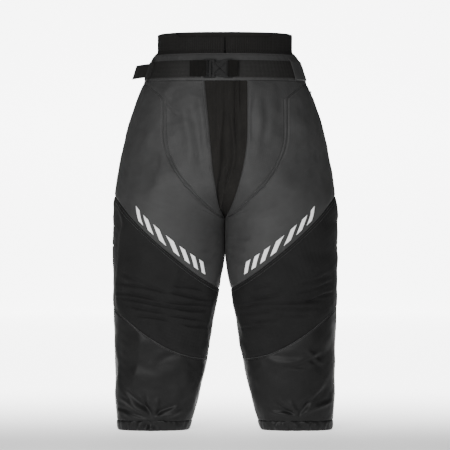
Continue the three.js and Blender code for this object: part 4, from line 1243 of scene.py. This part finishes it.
class TROUSERS_OT_studio(bpy.types.Operator):
    """Set the pale floor, the soft lights and the camera"""

    bl_idname = "trousers.studio"
    bl_label = "Studio"

    def execute(self, context):
        settings = context.scene.trousers_studio
        self.sweep(settings)
        self.lights(settings)
        self.camera(context, settings)
        return {"FINISHED"}

    def sweep(self, settings):
        """A floor that curves up into a backdrop."""
        floor = -BELT_HEIGHT * MM - 0.0005
        half_width, near, far, bend = 2.2, -7.0, 8.0, 1.2
        profile = [(near, floor), (far, floor)]
        for step in range(1, 13):
            angle = math.pi / 2 * step / 12
            profile.append((far + bend * math.sin(angle), floor + bend * (1 - math.cos(angle))))
        profile.append((far + bend, floor + 3.0))
        points = [(x, y, z) for y, z in profile for x in (-half_width, half_width)]
        faces = [(2 * i, 2 * i + 1, 2 * i + 3, 2 * i + 2) for i in range(len(profile) - 1)]
        mesh = bpy.data.meshes.new("studio_sweep")
        mesh.from_pydata(points, [], faces)
        mesh.polygons.foreach_set("use_smooth", [True] * len(faces))
        mesh.materials.append(self.paper(settings.paper_glow))
        made = bpy.data.objects.new("studio_sweep", mesh)
        bpy.context.scene.collection.objects.link(made)

    def paper(self, glow):
        """White paper, lit more and more from behind towards the backdrop."""
        material = bpy.data.materials.new("Studio paper")
        material.use_nodes = True
        nodes, links = material.node_tree.nodes, material.node_tree.links
        surface = nodes["Principled BSDF"]
        surface.inputs["Base Color"].default_value = (0.85, 0.85, 0.85, 1)
        surface.inputs["Roughness"].default_value = 0.95
        surface.inputs["Emission Color"].default_value = (1, 1, 1, 1)
        place = nodes.new("ShaderNodeTexCoord")
        axes = nodes.new("ShaderNodeSeparateXYZ")
        links.new(place.outputs["Object"], axes.inputs["Vector"])
        rise = nodes.new("ShaderNodeMapRange")
        rise.interpolation_type = "SMOOTHSTEP"
        rise.inputs["From Min"].default_value = -0.5
        rise.inputs["From Max"].default_value = 1.6
        rise.inputs["To Min"].default_value = 0.5
        rise.inputs["To Max"].default_value = glow
        links.new(axes.outputs["Y"], rise.inputs["Value"])
        links.new(rise.outputs["Result"], surface.inputs["Emission Strength"])
        return material

    def lights(self, settings):
        world = bpy.data.worlds.new("Studio")
        world.use_nodes = True
        sky = world.node_tree.nodes["Background"]
        sky.inputs["Color"].default_value = (1, 1, 1, 1)
        sky.inputs["Strength"].default_value = settings.ambient
        bpy.context.scene.world = world
        for name, place, size, power in (
            ("Key", (-0.6, -2.1, -0.2), 0.8, settings.key_power),
            ("Fill", (1.1, -2.6, 0.0), 1.2, settings.key_power * 0.3),
            ("Top", (0.0, -0.3, 1.9), 1.2, settings.key_power * 0.15),
        ):
            data = bpy.data.lights.new(name, "AREA")
            data.size = size
            data.energy = power
            light = bpy.data.objects.new(name, data)
            light.location = place
            aim = Vector((0, 0, -0.42)) - light.location
            light.rotation_euler = aim.to_track_quat("-Z", "Y").to_euler()
            bpy.context.scene.collection.objects.link(light)

    def camera(self, context, settings):
        data = bpy.data.cameras.new("Camera")
        data.sensor_width = 36
        data.lens = 36 * settings.camera_distance / 1.215
        camera = bpy.data.objects.new("Camera", data)
        camera.location = (0.0, -settings.camera_distance, -0.414)
        camera.rotation_euler = (math.pi / 2, 0, 0)
        context.scene.collection.objects.link(camera)
        context.scene.camera = camera


class TrousersCloth(bpy.types.PropertyGroup):
    """How the cloth is cut and sewn"""

    thickness: bpy.props.FloatProperty(
        name="Cloth thickness", description="Thickness of the quilted shell", default=0.0024, min=0.001,
        max=0.006, unit="LENGTH", subtype="DISTANCE")
    seam_depth: bpy.props.FloatProperty(
        name="Seam depth", description="How far a panel is drawn in along its seams", default=0.0024,
        min=0.0, max=0.006, unit="LENGTH", subtype="DISTANCE")
    spare_cloth: bpy.props.FloatProperty(
        name="Spare cloth", description="Share of cloth more than the flat panel, which makes it buckle",
        default=0.005, min=0.0, max=0.15, subtype="FACTOR")
    fold_strength: bpy.props.FloatProperty(
        name="Fold strength", description="Share of the full depth of the laid-in folds", default=1.0,
        min=0.0, max=2.0, subtype="FACTOR")
    stitch_length: bpy.props.FloatProperty(
        name="Stitch length", description="Length of one stitch of thread", default=0.0032, min=0.001,
        max=0.01, unit="LENGTH", subtype="DISTANCE")


class TrousersStudio(bpy.types.PropertyGroup):
    """How the piece is lit and seen"""

    ambient: bpy.props.FloatProperty(
        name="Ambient light", description="Strength of the even light from all round", default=0.1,
        min=0.0, max=5.0)
    paper_glow: bpy.props.FloatProperty(
        name="Backdrop glow", description="Strength of the light behind the backdrop", default=6.0,
        min=0.0, max=20.0)
    key_power: bpy.props.FloatProperty(
        name="Key light", description="Power of the main soft light", default=43.0, min=0.0, max=2000.0,
        unit="POWER")
    camera_distance: bpy.props.FloatProperty(
        name="Camera distance", description="From the camera to the garment's centre", default=6.0,
        min=1.0, max=20.0, unit="LENGTH", subtype="DISTANCE")


class TROUSERS_PT_sidebar(bpy.types.Panel):
    """Lists the trousers' settings and the steps that build them"""

    bl_idname = "TROUSERS_PT_sidebar"
    bl_label = "Padded trousers"
    bl_space_type = "VIEW_3D"
    bl_region_type = "UI"
    bl_category = "Trousers"

    def draw(self, context):
        scene = context.scene
        for group in (scene.trousers_cloth, scene.trousers_studio):
            box = self.layout.box()
            for key in group.__annotations__:
                box.prop(group, key)
        column = self.layout.column()
        for operator in OPERATORS:
            column.operator(operator.bl_idname)


OPERATORS = (
    TROUSERS_OT_leg_fronts, TROUSERS_OT_leg_backs, TROUSERS_OT_seat, TROUSERS_OT_linings, TROUSERS_OT_waist,
    TROUSERS_OT_kidney_band, TROUSERS_OT_hems, TROUSERS_OT_stitching, TROUSERS_OT_prints,
    TROUSERS_OT_hardware, TROUSERS_OT_studio,
)
CLASSES = (TrousersCloth, TrousersStudio, *OPERATORS, TROUSERS_PT_sidebar)


def register():
    for cls in CLASSES:
        bpy.utils.register_class(cls)
    bpy.types.Scene.trousers_cloth = bpy.props.PointerProperty(type=TrousersCloth)
    bpy.types.Scene.trousers_studio = bpy.props.PointerProperty(type=TrousersStudio)


def unregister():
    del bpy.types.Scene.trousers_studio
    del bpy.types.Scene.trousers_cloth
    for cls in reversed(CLASSES):
        bpy.utils.unregister_class(cls)


def main():
    register()
    bpy.ops.trousers.leg_fronts()
    bpy.ops.trousers.leg_backs()
    bpy.ops.trousers.seat()
    bpy.ops.trousers.linings()
    bpy.ops.trousers.waist()
    bpy.ops.trousers.kidney_band()
    bpy.ops.trousers.hems()
    bpy.ops.trousers.stitching()
    bpy.ops.trousers.prints()
    bpy.ops.trousers.hardware()
    bpy.ops.trousers.studio()


if __name__ == "__main__":
    main()
